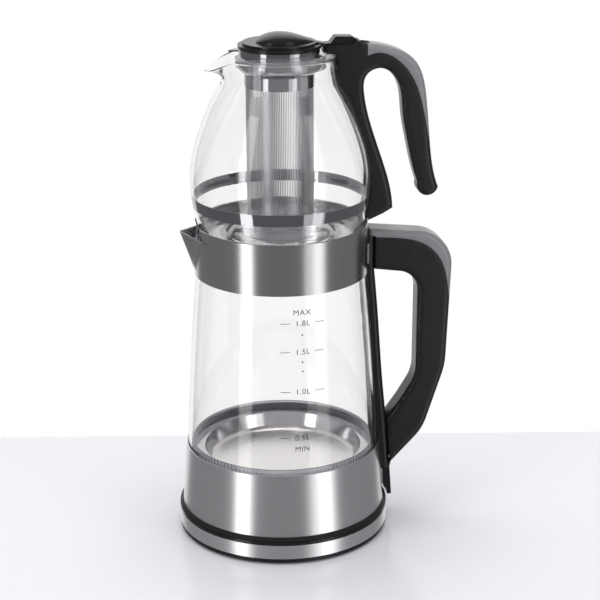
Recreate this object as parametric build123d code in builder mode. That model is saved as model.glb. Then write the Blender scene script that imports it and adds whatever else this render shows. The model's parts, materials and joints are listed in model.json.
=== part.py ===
"""Two-tier tea maker: power base, glass kettle and glass teapot with infuser and hinged lid.

Millimetres. +Z is up, the origin is the centre of the base where it stands. The kettle spout and
the teapot lip point along -X, both handles along +X, and the plane Y = 0 halves every outer shape.
"""

import os
from math import cos, radians, sin

from build123d import *

# ---- clearances ----
SEAT_GAP = 0.3  # between pieces that lift apart or swing past each other
PLUG_GAP = 0.05  # between pieces that are pushed, pinned or screwed together
BODY_GAP = 0.2  # between a hugging piece and the wall it follows
BEYOND = 2.0  # how far cutting shapes reach past what they cut
SLANT = 1.15  # shift along X that leaves a slanted cheek its full thickness

# ---- power base ----
FOOT_STAND = 1.6  # how far the foot ring lifts the base off the table
FOOT_INSET = 11.0  # how far the foot ring stands inside the trim ring
FOOT_W = 8.0
FOOT_SEAT = 1.0  # depth of the groove that holds the foot ring
TRIM_R = 81.0  # outside of the steel trim ring
TRIM_T = 0.8
TRIM_H = 11.0
BASE_PLATE_T = 3.0
BASE_RIM_H = 2.7  # black rim above the trim ring
BASE_WALL_T = 2.2
DECK_T = 2.4
DECK_SINK = 1.6  # how far the deck lies below the rim
BASE_SCREW_INSET = 10.0  # how far the screws stand inside the foot ring

# ---- screws ----
SCREW_R = 1.45
SCREW_HEAD_R = 2.9
SCREW_HEAD_H = 1.4
SCREW_LEN = 9.0
BOSS_R = 4.0
SCREW_COUNT = 3
SCREW_TURN = 30.0  # angle of the first screw of a ring

# ---- round plug-in connector ----
PLUG_R = 13.2  # raised plug of the base
PLUG_REACH = 8.7  # how far the plug stands above the rim of the base
PLUG_FLANGE_R = 17.0
PLUG_FLANGE_T = 2.1
PLUG_EDGE_R = 1.2
PIN_R = 2.4  # centre pin of the kettle
RING_R = 8.4  # ring contact of the kettle, outside
RING_T = 0.65
CONTACT_T = 0.7
CONTACT_GAP = 0.4
CONTACT_FLOOR = 5.0  # floor of the plug's grooves above its foot
CONTACT_SINK = 2.0  # base contacts end this far below the plug's top
PIN_FOOT_GAP = 3.0
SOCKET_GAP = 1.0
SOCKET_ROOM = 2.0  # above the plug
SOCKET_WALL = 4.6
SOCKET_FLANGE_W = 3.5
SOCKET_FLANGE_T = 1.5
CORD_R = 3.3  # bore of the cord gland
GLAND_NECK_R = 4.1
GLAND_NUT_R = 4.7  # its flange inside the base
GLAND_FLANGE_R = 5.3
GLAND_FLANGE_T = 1.3
GLAND_EDGE_R = 0.5

# ---- kettle foot ----
COVER_T = 2.8
COVER_EDGE_H = 0.7  # upright edge of the cover, below its sloping shoulder
COVER_SHOULDER = 0.4  # how far the shoulder's top stands out from the steel shell
SHELL_INSET = 2.5  # foot of the steel shell inside the trim ring
SHELL_LEAN = 3.7
SHELL_H = 48.2
SHELL_T = 0.8
CHASSIS_T = 2.2
CHASSIS_H = 42.0
CHASSIS_BOSS_H = 13.0
LEDGE_W = 8.8  # from the top of the steel shell to the ledge's inner edge
LEDGE_T = 2.2
GASKET_T = 1.6
UPSTAND_GAP = 0.7  # between the kettle glass and the ribbed part of the seat gasket
UPSTAND_T = 1.8
UPSTAND_H = 4.0
RIB_H = 3.6
RIB_COUNT = 130
RIB_SLOT = 1.5
PAN_FLANGE_W = 7.9
PAN_LEAN = 3.6
PAN_DEPTH = 11.0
PAN_CORNER = 2.0
PAN_T = 0.8
SPREADER_INSET = 7.0  # edge of the spreader inside the floor of the pan
SPREADER_T = 2.4
ELEMENT_INSET = 12.0  # middle of the element inside the edge of the spreader
ELEMENT_R = 3.3
ELEMENT_SWEEP = 310.0
ELEMENT_TAIL = 7.0
TERMINAL_R = 1.6
TERMINAL_TURN = 2.0  # how far the terminals stand inside the element's ends, in degrees
CONTROL_L = 54.0
CONTROL_W = 38.0
CONTROL_H = 7.0
CONTROL_CORNER_R = 4.0
POST_R = 2.5
POST_SPAN = 40.0

# ---- kettle glass and collar ----
GLASS_INSET = 1.0  # foot of the kettle glass inside the top of the steel shell
GLASS_LEAN_LOW = 3.8  # from the foot of the glass to half its bare height
GLASS_LEAN_HIGH = 5.75  # from there to the collar
GLASS_LEAN_TOP = 0.85  # inside the collar
GLASS_T = 2.6
GLASS_IN_COLLAR = 24.0
COLLAR_GAP = 0.25  # between the collar and the glass at its lower edge
COLLAR_T = 0.8
COLLAR_Z = 207.1
COLLAR_H = 39.0
COLLAR_BEAD_R = 1.1
SEAL_H = 2.2
SEAT_Z = 236.2  # top of the ring that the teapot stands on
SEAT_T = 0.8
SEAT_REACH = 4.0  # how far the seat reaches in under the foot of the teapot
SEAT_FLOW_W_IN = 8.3  # the seat is cut back by this much from the collar towards the spout
SEAT_FLOW_W = 44.0

# ---- kettle spout ----
SPOUT_Z_LOW = 212.0
SPOUT_SEAM_Z = 237.0  # where its side seams end on the collar
SPOUT_TIP_Z = 241.5
SPOUT_REACH = 11.7  # from the collar to the tip
SPOUT_FOOT_REACH = 1.0
SPOUT_SEAM_W = 63.6  # width across the seams at their top
SPOUT_FOOT_W = 20.0
SPOUT_T = 0.9
SPOUT_NOSE_R = 4.0
SPOUT_ROOT = 6.0  # how far its solid reaches inside the collar before it is trimmed
NOTCH_RIM_W = 29.0
NOTCH_W = 47.0
NOTCH_LOW_W = 10.5
NOTCH_RISE = 4.0  # foot of the notch above the foot of the spout

# ---- kettle handle, outlines in the plane Y = 0 as (distance from the kettle's wall, z) ----
HANDLE_EDGE_R = 4.0
SPINE_W = 20.0
SPINE_STEPS = [(5.2, 233.0), (5.1, 206.0), (6.2, 158.0), (6.7, 117.0), (7.8, 83.6), (6.9, 41.5)]
GRIP_W = 22.0
GRIP_OUT_STEPS = [(0.7, 238.4), (66.2, 232.0), (56.6, 125.0), (36.4, 73.0), (3.6, 41.8)]
GRIP_IN_STEPS = [(7.5, 82.7), (20.0, 99.0), (32.7, 118.0), (38.4, 201.5), (0.7, 206.8)]
GRIP_ROUNDS = [0.0, 28.0, 60.0, 40.0, 0.0, 0.0, 12.0, 28.0, 16.0, 0.0]  # corner by corner, outside first
CAP_STEPS = [(-1.3, 232.6), (24.7, 230.4), (43.7, 224.5), (56.2, 211.0), (60.6, 192.0), (64.2, 166.0)]
BRACKET_T = 1.5
BRACKET_W = 12.0
BRACKET_Z = 219.0
BRACKET_H = 16.0
BRACKET_PLATE_W = 18.0
BRACKET_REACH = 26.7  # from the collar to the end of the bracket
ARM_SCREW_REACH = 18.7
ARM_SCREW_LEN = 8.0
LOW_SCREW_Z = 56.0
LOW_SCREW_LEN = 16.0

# ---- power lever ----
LEVER_REACH = 7.4  # from the steel shell to the lever's pin
LEVER_Z = 51.5
LEVER_W = 13.0
LEVER_HUB_R = 3.0
LEVER_PIN_R = 1.2
LEVER_INNER_STEPS = [(4.71, 51.5), (3.7, 41.0), (3.7, 40.0), (1.2, 39.6), (1.2, 24.4), (3.6, 22.4), (3.6, 17.6)]
LEVER_OUTER_STEPS = [(6.95, 17.6), (7.2, 41.0), (10.11, 51.5)]
POCKET_STEPS = [(4.01, 51.5), (2.73, 40.0), (12.43, 40.0), (10.81, 51.5)]

# ---- teapot ----
POT_FOOT_INSET = 12.0  # foot of the teapot inside the top of its heel
HEEL_FIT = 3.3  # top of the teapot's heel inside the kettle's collar
BELLY_LOW = 0.1  # how far the belly stands out from the collar, low down
BELLY_LOW_Z = 24.0  # above the teapot's foot
BELLY_HIGH = 1.1
BELLY_HIGH_Z = 36.5
# shoulder of the teapot, as (distance in from the belly, height above its foot)
POT_SHOULDER = [(5.2, 65.0), (13.6, 87.5), (21.8, 105.0), (24.9, 119.0)]
HEEL_H = 8.3
HEEL_LEAN = (0.45, 1.0)  # direction of the side where it leaves the heel
POT_H = 133.5
POT_T = 2.0
HEEL_MID = (4.2, 2.6)  # inside the top of the heel, above its foot
HEEL_DEG = 45.0
PUNT_INSET = 8.0  # edge of the punt inside the foot
PUNT_SLOPE = 6.0
PUNT_H = 3.5
LIP_REACH = 12.9  # from the neck to the tip
LIP_TIP_Z = 361.0
LIP_Z_LOW = 354.0
LIP_RISE = 14.0
LIP_W_LOW = 5.0
LIP_W_HIGH = 38.0
LIP_R_LOW = 42.0
LIP_R_HIGH = 65.6
LIP_NOSE_R = 3.0
LIP_SLOPE = 22.0  # fall of its upper edge, in degrees
LIP_ROOT = 8.0
BAND_LOW = 23.0  # above the foot of the pot
BAND_H = 8.8
BAND_T = 0.5
BAND_LUG = 9.0
BAND_LUG_T = 1.0
BAND_SCREW_REACH = 7.6  # from the glass to the screw
BAND_SCREW_LEN = 9.5
BAND_SCREW_SINK = 3.0

# ---- teapot handle, outlines in the plane Y = 0 as (distance out from the belly, z) ----
POT_HANDLE_W = 17.0
POT_GRIP_IN_STEPS = [(17.9, 253.2), (15.2, 272.0), (9.5, 291.2), (1.5, 315.5), (-4.2, 340.3), (-2.2, 355.0)]
POT_GRIP_ARCH_STEPS = [(8.2, 359.4), (20.0, 350.2), (24.5, 327.0), (28.1, 305.5), (36.6, 272.0)]
POT_GRIP_END_STEPS = [(45.1, 261.5)]
POT_GRIP_OUT_STEPS = [(52.6, 268.0), (45.6, 305.0), (42.6, 337.0), (33.6, 364.5), (12.7, 376.0), (1.6, 378.2)]
POT_GRIP_TOP_STEPS = [(-6.4, 379.0), (-26.4, 378.4)]
POT_GRIP_FOOT_STEPS = [(-26.4, 240.0), (-1.4, 243.8), (10.3, 248.8)]
POT_CAP_LINE_STEPS = [(-2.4, 369.4), (10.2, 370.9), (23.0, 363.2), (31.6, 352.0), (38.1, 335.0), (46.1, 300.0)]
COLLAR_CLEAR = 0.6
HEAD_REACH = 8.3  # how far the handle's head reaches in over the rim of the pot
HEAD_H = 5.6
HEAD_NOSE_R = 1.8
HINGE_REACH = 15.5  # from the neck of the pot to the hinge
HINGE_UP = 6.5  # hinge axis above the rim of the pot
HINGE_PIN_R = 1.5
HINGE_PIN_L = 16.4
EAR_R = 4.0
ARM_W = 10.0
SLOT_FLOOR = 1.5  # floor of the lid arm's slot above the rim of the pot
SLOT_REACH = 25.0
CLIP_T = 1.0
CLIP_W = 9.0
CLIP_DROP = 8.0
CLIP_REACH = 9.0
CLIP_SCREW_REACH = 5.0
CLIP_SCREW_LEN = 7.0
CLIP_SCREW_HEAD_R = 2.2
CLIP_SCREW_HEAD_H = 0.7

# ---- infuser ----
INFUSER_SEAT_INSET = 0.3  # edge of the clear ring inside the rim of the pot
SEAT_RING_T = 1.5
SEAT_RING_R_IN = 33.0
SEAT_RING_LEDGE_R = 31.8
SEAT_RING_WALL = 1.2
SEAT_RING_DROP = 7.6
SEAT_RING_OPEN_W = 44.0
INFUSER_T = 0.6
INFUSER_R = 25.8  # outside of its steel sleeve
INFUSER_SHEET = 0.8
INFUSER_LOW = 15.5  # above the foot of the pot
SLEEVE_LOW = 112.1
SLEEVE_TOP = 121.5
FUNNEL_R = 32.4
FUNNEL_LOW = 128.4
FUNNEL_TOP = 132.6
FUNNEL_BULGE = 0.4
SKIRT_R = 29.7
SKIRT_LOW = 134.2
SKIRT_TOP = 139.7
SLOT_COUNT = 48
SLOT_W = 1.2
SLOT_MARGIN = 5.0
MESH_CAP_H = 4.0
MESH_CAP_T = 0.8
MESH_HOLE_R = 1.1
MESH_RINGS = [5.0, 10.5, 16.0, 21.0]  # radii of the rings of holes
MESH_COUNTS = [6, 12, 18, 24]

# ---- lid ----
LID_R = 30.4
LID_RIM_H = 2.5
LID_STEP_R = 27.1
LID_STEP_H = 1.8
DOME_R = 17.6
DOME_H = 6.5
LID_WALL = 1.6
PLUG_TOP_R = 25.2
PLUG_SIDE_R = 26.8
PLUG_WALL = 1.6
PLUG_DROP = 5.4  # how far the plug reaches below the lid's rim
LID_SEAL_R = 28.5
LID_SEAL_T = 2.0
LID_HUB_R = 3.6
# lid's arm, as (x, height above the hinge)
RIDGE = [(2.0, 10.1), (9.0, 9.4), (17.0, 7.2), (23.0, 5.3), (28.5, 3.3), (33.0, 2.4)]
# its thumb tab and its underside, as (distance out from the hinge, height above it)
THUMB_TAB = [(-20.0, 2.6), (-16.2, 7.4), (-3.9, 7.0), (2.4, 2.7)]
UNDERARM = [(-2.0, -3.1), (-11.0, -3.9), (-25.6, -3.9)]
ARM_ROOT_X = 26.0

# ---- sizes and levels worked out from the sizes above ----
Z_PLATE = FOOT_STAND
Z_TRIM = Z_PLATE + BASE_PLATE_T
Z_TRIM_TOP = Z_TRIM + TRIM_H
Z_BASE_TOP = Z_TRIM_TOP + BASE_RIM_H
Z_DECK = Z_BASE_TOP - DECK_SINK
Z_DECK_LOW = Z_DECK - DECK_T
Z_PLUG = Z_BASE_TOP + PLUG_REACH
Z_KETTLE = Z_BASE_TOP + SEAT_GAP
Z_SHELL = Z_KETTLE + COVER_T
Z_SHELL_TOP = Z_SHELL + SHELL_H
Z_LEDGE = Z_SHELL + CHASSIS_H
Z_GLASS = Z_LEDGE + GASKET_T
Z_GLASS_TOP = COLLAR_Z + GLASS_IN_COLLAR
Z_PAN = Z_GLASS - PAN_DEPTH
Z_SPREADER = Z_PAN - PAN_T - SPREADER_T
Z_ELEMENT = Z_SPREADER - ELEMENT_R
Z_SOCKET = Z_PLUG + SOCKET_ROOM
Z_SOCKET_TOP = Z_SOCKET + SOCKET_WALL
Z_CONTROL_TOP = Z_SOCKET_TOP + CONTROL_H
Z_COLLAR_TOP = COLLAR_Z + COLLAR_H
Z_POT = SEAT_Z + SEAT_GAP
Z_RIM = Z_POT + POT_H
Z_HINGE = Z_RIM + HINGE_UP
Z_SLOT = Z_RIM + SLOT_FLOOR
Z_LID = Z_POT + SKIRT_TOP + SEAT_GAP
FOOT_R_OUT = TRIM_R - FOOT_INSET
FOOT_R_IN = FOOT_R_OUT - FOOT_W
BASE_SCREW_RING_R = FOOT_R_IN - BASE_SCREW_INSET
SHELL_FOOT_R = TRIM_R - SHELL_INSET
SHELL_TOP_R = SHELL_FOOT_R - SHELL_LEAN
LEDGE_R = SHELL_TOP_R - LEDGE_W
GLASS_FOOT_R = SHELL_TOP_R - GLASS_INSET
GLASS_MID_R = GLASS_FOOT_R - GLASS_LEAN_LOW
GLASS_NECK_R = GLASS_MID_R - GLASS_LEAN_HIGH
GLASS_TOP_R = GLASS_NECK_R - GLASS_LEAN_TOP
COLLAR_R_IN = GLASS_NECK_R + COLLAR_GAP
COLLAR_R = COLLAR_R_IN + COLLAR_T
UPSTAND_R = GLASS_FOOT_R - GLASS_T - UPSTAND_GAP
PAN_FLANGE_R = UPSTAND_R - UPSTAND_T - BODY_GAP
PAN_RIM_R = PAN_FLANGE_R - PAN_FLANGE_W
PAN_FLOOR_R = PAN_RIM_R - PAN_LEAN
SPREADER_R = PAN_FLOOR_R - SPREADER_INSET
ELEMENT_RING_R = SPREADER_R - ELEMENT_INSET
SPOUT_TIP_R = COLLAR_R + SPOUT_REACH
SPOUT_FOOT_R = COLLAR_R + SPOUT_FOOT_REACH
HEEL_TOP_R = COLLAR_R - HEEL_FIT
POT_FOOT_R = HEEL_TOP_R - POT_FOOT_INSET
PUNT_R = POT_FOOT_R - PUNT_INSET
POT_SIDE = [
    (HEEL_TOP_R, HEEL_H),
    (COLLAR_R + BELLY_LOW, BELLY_LOW_Z),
    (COLLAR_R + BELLY_HIGH, BELLY_HIGH_Z),
    *[(COLLAR_R + BELLY_HIGH - inset, rise) for inset, rise in POT_SHOULDER],
]
POT_BELLY_R = COLLAR_R + BELLY_HIGH
POT_NECK_R = POT_SIDE[-1][0]
LIP_TIP_X = POT_NECK_R + LIP_REACH
HEAD_X = POT_NECK_R - HEAD_REACH
HINGE_X = POT_NECK_R + HINGE_REACH
SLOT_END_X = POT_NECK_R + SLOT_REACH
CLIP_END_X = POT_NECK_R + CLIP_REACH
CLIP_SCREW_X = POT_NECK_R + CLIP_SCREW_REACH
INFUSER_SEAT_R = POT_NECK_R - INFUSER_SEAT_INSET
TRIM_R_IN = TRIM_R - TRIM_T
HOUSING_R = TRIM_R_IN - PLUG_GAP
HOUSING_R_IN = HOUSING_R - BASE_WALL_T
RIM_R = TRIM_R + SEAT_GAP / 2
CHASSIS_FOOT_R = SHELL_FOOT_R - SHELL_T - BODY_GAP
KETTLE_SCREW_RING_R = CHASSIS_FOOT_R - CHASSIS_T - BOSS_R + BODY_GAP
SOCKET_R = PLUG_R + SOCKET_GAP
SOCKET_R_OUT = SOCKET_R + SOCKET_WALL


# ---- shared profiles ----
def ring_outline(r_out, r_in):
    """Flat ring on the current sketch plane."""
    Circle(r_out)
    Circle(r_in, mode=Mode.SUBTRACT)


def shell_radius(z):
    """Outer radius of the steel shell."""
    return SHELL_FOOT_R - SHELL_LEAN * (z - Z_SHELL) / SHELL_H


def wall_radius(z):
    """Outer radius of the kettle: steel shell, glass taken as straight, or collar."""
    if z < Z_SHELL_TOP:
        return shell_radius(z)
    rise = min((z - Z_SHELL_TOP) / (COLLAR_Z - Z_SHELL_TOP), 1.0)
    return GLASS_FOOT_R + (COLLAR_R - GLASS_FOOT_R) * rise


def beside_kettle(steps):
    """Points (x, z) from their distances to the kettle's wall."""
    return [(wall_radius(z) + step, z) for step, z in steps]


def beside_pot(steps):
    """Points (x, z) from their distances out from the teapot's belly."""
    return [(POT_BELLY_R + step, z) for step, z in steps]


CHASSIS_TOP_R = shell_radius(Z_LEDGE) - SHELL_T - BODY_GAP
SPINE_LINE = beside_kettle(SPINE_STEPS)
GRIP_OUTSIDE = beside_kettle(GRIP_OUT_STEPS)
GRIP_INSIDE = beside_kettle(GRIP_IN_STEPS)
CAP_LINE = beside_kettle(CAP_STEPS)
LEVER_OUTLINE = beside_kettle(LEVER_INNER_STEPS + LEVER_OUTER_STEPS)
POCKET_OUTLINE = beside_kettle(POCKET_STEPS)
LEVER_X = shell_radius(LEVER_Z) + LEVER_REACH
ARM_SCREW_X = COLLAR_R + ARM_SCREW_REACH
POT_GRIP_IN = beside_pot(POT_GRIP_IN_STEPS)
POT_GRIP_ARCH = beside_pot(POT_GRIP_ARCH_STEPS)
POT_GRIP_END = beside_pot(POT_GRIP_END_STEPS)[0]
POT_GRIP_OUT = beside_pot(POT_GRIP_OUT_STEPS)
POT_GRIP_TOP = beside_pot(POT_GRIP_TOP_STEPS)
POT_GRIP_FOOT = beside_pot(POT_GRIP_FOOT_STEPS)
POT_CAP_LINE = beside_pot(POT_CAP_LINE_STEPS)
BRACKET_END_X = COLLAR_R + BRACKET_REACH


def kettle_glass_line(grow):
    """Line of the kettle glass from foot to top, moved out by grow."""
    ThreePointArc(
        (GLASS_FOOT_R + grow, Z_GLASS),
        (GLASS_MID_R + grow, (Z_GLASS + COLLAR_Z) / 2),
        (GLASS_NECK_R + grow, COLLAR_Z),
    )
    Line((GLASS_NECK_R + grow, COLLAR_Z), (GLASS_TOP_R + grow, Z_GLASS_TOP))


def pot_side_line(grow, top=Z_RIM):
    """Side of the teapot from heel to top, moved out by grow."""
    side = [(radius + grow, Z_POT + rise) for radius, rise in POT_SIDE]
    Spline(*side, tangents=[HEEL_LEAN, (0.0, 1.0)])
    Line(side[-1], (side[-1][0], top))


def screw_set(ring_r, z_head, length):
    """Pan-head screws on a circle, driven upwards, with the outer face of their heads at z_head."""
    with BuildPart() as screws:
        with BuildSketch(Plane.XY.offset(z_head)):
            with PolarLocations(ring_r, SCREW_COUNT, start_angle=SCREW_TURN):
                Circle(SCREW_HEAD_R)
        extrude(amount=SCREW_HEAD_H)
        with BuildSketch(Plane.XY.offset(z_head + SCREW_HEAD_H)):
            with PolarLocations(ring_r, SCREW_COUNT, start_angle=SCREW_TURN):
                Circle(SCREW_R)
        extrude(amount=length)
    return screws


def screw_holes(ring_r, z_face, depth):
    """Room for a screw set: head recesses in the face at z_face and through holes above them."""
    with BuildPart() as holes:
        with BuildSketch(Plane.XY.offset(z_face)):
            with PolarLocations(ring_r, SCREW_COUNT, start_angle=SCREW_TURN):
                Circle(SCREW_R + BODY_GAP)
        extrude(amount=depth)
        with BuildSketch(Plane.XY.offset(z_face)):
            with PolarLocations(ring_r, SCREW_COUNT, start_angle=SCREW_TURN):
                Circle(SCREW_HEAD_R + BODY_GAP)
        extrude(amount=SCREW_HEAD_H + BODY_GAP)
    return holes


def round_bar(plane, radius, length):
    """Round bar that starts on a plane and runs along its normal."""
    with BuildPart() as bar:
        with BuildSketch(plane):
            Circle(radius)
        extrude(amount=length)
    return bar


def single_screw(plane, length, grow=0.0, head_r=SCREW_HEAD_R, head_h=SCREW_HEAD_H):
    """Screw whose head starts on a plane and whose shank follows the plane's normal."""
    with BuildPart() as screw:
        with BuildSketch(plane):
            Circle(head_r + grow)
        extrude(amount=head_h + grow)
        with BuildSketch(plane):
            Circle(SCREW_R + grow)
        extrude(amount=head_h + length + grow)
    return screw


# ================= power base =================
with BuildPart() as base_foot_ring:
    with BuildSketch():
        ring_outline(FOOT_R_OUT, FOOT_R_IN)
    extrude(amount=FOOT_STAND + FOOT_SEAT)

base_screws = screw_set(BASE_SCREW_RING_R, Z_PLATE + BODY_GAP / 2, SCREW_LEN)
base_screw_holes = screw_holes(BASE_SCREW_RING_R, Z_PLATE, BASE_PLATE_T)

with BuildPart() as base_bottom:
    with BuildSketch(Plane.XY.offset(Z_PLATE)):
        Circle(TRIM_R - SEAT_GAP)
    extrude(amount=BASE_PLATE_T)
    with BuildSketch(Plane.XY.offset(Z_PLATE)):
        ring_outline(FOOT_R_OUT + PLUG_GAP, FOOT_R_IN - PLUG_GAP)
    extrude(amount=FOOT_SEAT, mode=Mode.SUBTRACT)
    add(base_screw_holes.part, mode=Mode.SUBTRACT)

GLAND_Z = (Z_TRIM + Z_DECK_LOW) / 2
GLAND_IN_Y = HOUSING_R_IN - BODY_GAP - GLAND_FLANGE_T
GLAND_OUT_Y = TRIM_R + PLUG_GAP
gland_plane = Plane((0, GLAND_IN_Y, GLAND_Z), z_dir=(0, 1, 0))
gland_hole = round_bar(gland_plane, GLAND_NECK_R + PLUG_GAP, GLAND_OUT_Y - GLAND_IN_Y)

with BuildPart() as base_housing:
    with BuildSketch(Plane.XZ):
        Polygon(
            (HOUSING_R, Z_TRIM),
            (HOUSING_R, Z_TRIM_TOP),
            (RIM_R, Z_TRIM_TOP),
            (RIM_R, Z_BASE_TOP),
            (HOUSING_R_IN, Z_BASE_TOP),
            (HOUSING_R_IN - DECK_SINK, Z_DECK),
            (PLUG_R + SEAT_GAP, Z_DECK),
            (PLUG_R + SEAT_GAP, Z_DECK_LOW),
            (HOUSING_R_IN, Z_DECK_LOW),
            (HOUSING_R_IN, Z_TRIM),
            align=None,
        )
    revolve(axis=Axis.Z)
    with BuildSketch(Plane.XY.offset(Z_TRIM)):
        with PolarLocations(BASE_SCREW_RING_R, SCREW_COUNT, start_angle=SCREW_TURN):
            Circle(BOSS_R)
    extrude(amount=Z_DECK_LOW - Z_TRIM)
    with BuildSketch(Plane.XY.offset(Z_TRIM)):
        with PolarLocations(BASE_SCREW_RING_R, SCREW_COUNT, start_angle=SCREW_TURN):
            Circle(SCREW_R + PLUG_GAP)
    extrude(amount=SCREW_LEN, mode=Mode.SUBTRACT)
    add(gland_hole.part, mode=Mode.SUBTRACT)

with BuildPart() as base_trim:
    with BuildSketch(Plane.XY.offset(Z_TRIM)):
        ring_outline(TRIM_R, TRIM_R_IN)
    extrude(amount=TRIM_H)
    add(gland_hole.part, mode=Mode.SUBTRACT)

with BuildPart() as cord_gland:
    with BuildSketch(gland_plane):
        Circle(GLAND_NECK_R)
    extrude(amount=GLAND_OUT_Y + GLAND_FLANGE_T - GLAND_IN_Y)
    with BuildSketch(gland_plane):
        Circle(GLAND_NUT_R)
    extrude(amount=GLAND_FLANGE_T)
    with BuildSketch(gland_plane.offset(GLAND_OUT_Y - GLAND_IN_Y)):
        Circle(GLAND_FLANGE_R)
    extrude(amount=GLAND_FLANGE_T)
    fillet(cord_gland.faces().sort_by(Axis.Y)[-1].edges(), radius=GLAND_EDGE_R)
    with BuildSketch(gland_plane):
        Circle(CORD_R)
    extrude(amount=2 * GLAND_FLANGE_R, mode=Mode.SUBTRACT)

GROOVE_R_OUT = RING_R + CONTACT_GAP + CONTACT_T + PLUG_GAP
GROOVE_R_IN = RING_R - RING_T - CONTACT_GAP
PIN_BORE_R = PIN_R + CONTACT_GAP + CONTACT_T + PLUG_GAP
Z_CONTACT = Z_TRIM + CONTACT_FLOOR

with BuildPart() as base_plug:
    with BuildSketch(Plane.XY.offset(Z_TRIM)):
        Circle(PLUG_R)
    extrude(amount=Z_PLUG - Z_TRIM)
    fillet(base_plug.edges().group_by(Axis.Z)[-1], radius=PLUG_EDGE_R)
    with BuildSketch(Plane.XY.offset(Z_DECK_LOW - PLUG_FLANGE_T)):
        Circle(PLUG_FLANGE_R)
    extrude(amount=PLUG_FLANGE_T)
    with BuildSketch(Plane.XY.offset(Z_CONTACT)):
        ring_outline(GROOVE_R_OUT, GROOVE_R_IN)
        Circle(PIN_BORE_R)
    extrude(amount=Z_PLUG - Z_CONTACT, mode=Mode.SUBTRACT)

with BuildPart() as base_contacts:
    with BuildSketch(Plane.XY.offset(Z_CONTACT)):
        ring_outline(GROOVE_R_OUT - PLUG_GAP, GROOVE_R_OUT - PLUG_GAP - CONTACT_T)
        Circle(PIN_BORE_R - PLUG_GAP)
        Circle(PIN_BORE_R - PLUG_GAP - CONTACT_T, mode=Mode.SUBTRACT)
    extrude(amount=Z_PLUG - Z_CONTACT - CONTACT_SINK)

# ================= kettle foot =================
kettle_base_screws = screw_set(KETTLE_SCREW_RING_R, Z_KETTLE + BODY_GAP / 2, SCREW_LEN)
kettle_screw_holes = screw_holes(KETTLE_SCREW_RING_R, Z_KETTLE, COVER_T)

with BuildPart() as kettle_base_cover:
    with BuildSketch(Plane.XZ):
        Polygon(
            (SOCKET_R_OUT + BODY_GAP, Z_KETTLE),
            (TRIM_R, Z_KETTLE),
            (TRIM_R, Z_KETTLE + COVER_EDGE_H),
            (SHELL_FOOT_R + COVER_SHOULDER, Z_SHELL),
            (SOCKET_R_OUT + BODY_GAP, Z_SHELL),
            align=None,
        )
    revolve(axis=Axis.Z)
    add(kettle_screw_holes.part, mode=Mode.SUBTRACT)

LOW_SCREW_X = shell_radius(LOW_SCREW_Z) - SHELL_T - BODY_GAP - CHASSIS_T - SCREW_HEAD_H
low_screw_plane = Plane((LOW_SCREW_X, 0, LOW_SCREW_Z), z_dir=(1, 0, 0))
low_screw = single_screw(low_screw_plane, LOW_SCREW_LEN)
low_screw_room = single_screw(low_screw_plane, LOW_SCREW_LEN, grow=PLUG_GAP)

with BuildPart() as kettle_shell:
    with BuildSketch(Plane.XZ):
        Polygon(
            (SHELL_FOOT_R, Z_SHELL),
            (SHELL_TOP_R, Z_SHELL_TOP),
            (SHELL_TOP_R - SHELL_T, Z_SHELL_TOP),
            (SHELL_FOOT_R - SHELL_T, Z_SHELL),
            align=None,
        )
    revolve(axis=Axis.Z)
    add(low_screw_room.part, mode=Mode.SUBTRACT)

with BuildPart() as kettle_chassis:
    with BuildSketch(Plane.XZ):
        Polygon(
            (CHASSIS_FOOT_R, Z_SHELL),
            (CHASSIS_TOP_R, Z_LEDGE),
            (LEDGE_R, Z_LEDGE),
            (LEDGE_R, Z_LEDGE - LEDGE_T),
            (CHASSIS_TOP_R - CHASSIS_T, Z_LEDGE - LEDGE_T),
            (CHASSIS_FOOT_R - CHASSIS_T, Z_SHELL),
            align=None,
        )
    revolve(axis=Axis.Z)
    with BuildSketch(Plane.XY.offset(Z_SHELL)):
        with PolarLocations(KETTLE_SCREW_RING_R, SCREW_COUNT, start_angle=SCREW_TURN):
            Circle(BOSS_R)
    extrude(amount=CHASSIS_BOSS_H)
    with BuildSketch(Plane.XY.offset(Z_SHELL)):
        with PolarLocations(KETTLE_SCREW_RING_R, SCREW_COUNT, start_angle=SCREW_TURN):
            Circle(SCREW_R + PLUG_GAP)
    extrude(amount=SCREW_LEN, mode=Mode.SUBTRACT)
    add(low_screw_room.part, mode=Mode.SUBTRACT)

with BuildPart() as kettle_socket:
    with BuildSketch(Plane.XY.offset(Z_KETTLE)):
        Circle(SOCKET_R_OUT)
    extrude(amount=Z_SOCKET_TOP - Z_KETTLE)
    with BuildSketch(Plane.XY.offset(Z_SHELL)):
        Circle(SOCKET_R_OUT + SOCKET_FLANGE_W)
    extrude(amount=SOCKET_FLANGE_T)
    with BuildSketch(Plane.XY.offset(Z_KETTLE)):
        Circle(SOCKET_R)
    extrude(amount=Z_SOCKET - Z_KETTLE, mode=Mode.SUBTRACT)
    with BuildSketch(Plane.XY.offset(Z_SOCKET)):
        ring_outline(RING_R + PLUG_GAP, RING_R - RING_T - PLUG_GAP)
        Circle(PIN_R + PLUG_GAP)
    extrude(amount=SOCKET_WALL - SOCKET_GAP, mode=Mode.SUBTRACT)

Z_PIN = Z_CONTACT + PIN_FOOT_GAP

with BuildPart() as kettle_contacts:
    with BuildSketch(Plane.XY.offset(Z_PIN)):
        ring_outline(RING_R, RING_R - RING_T)
        Circle(PIN_R)
    extrude(amount=Z_SOCKET_TOP - SOCKET_GAP - Z_PIN)

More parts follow.
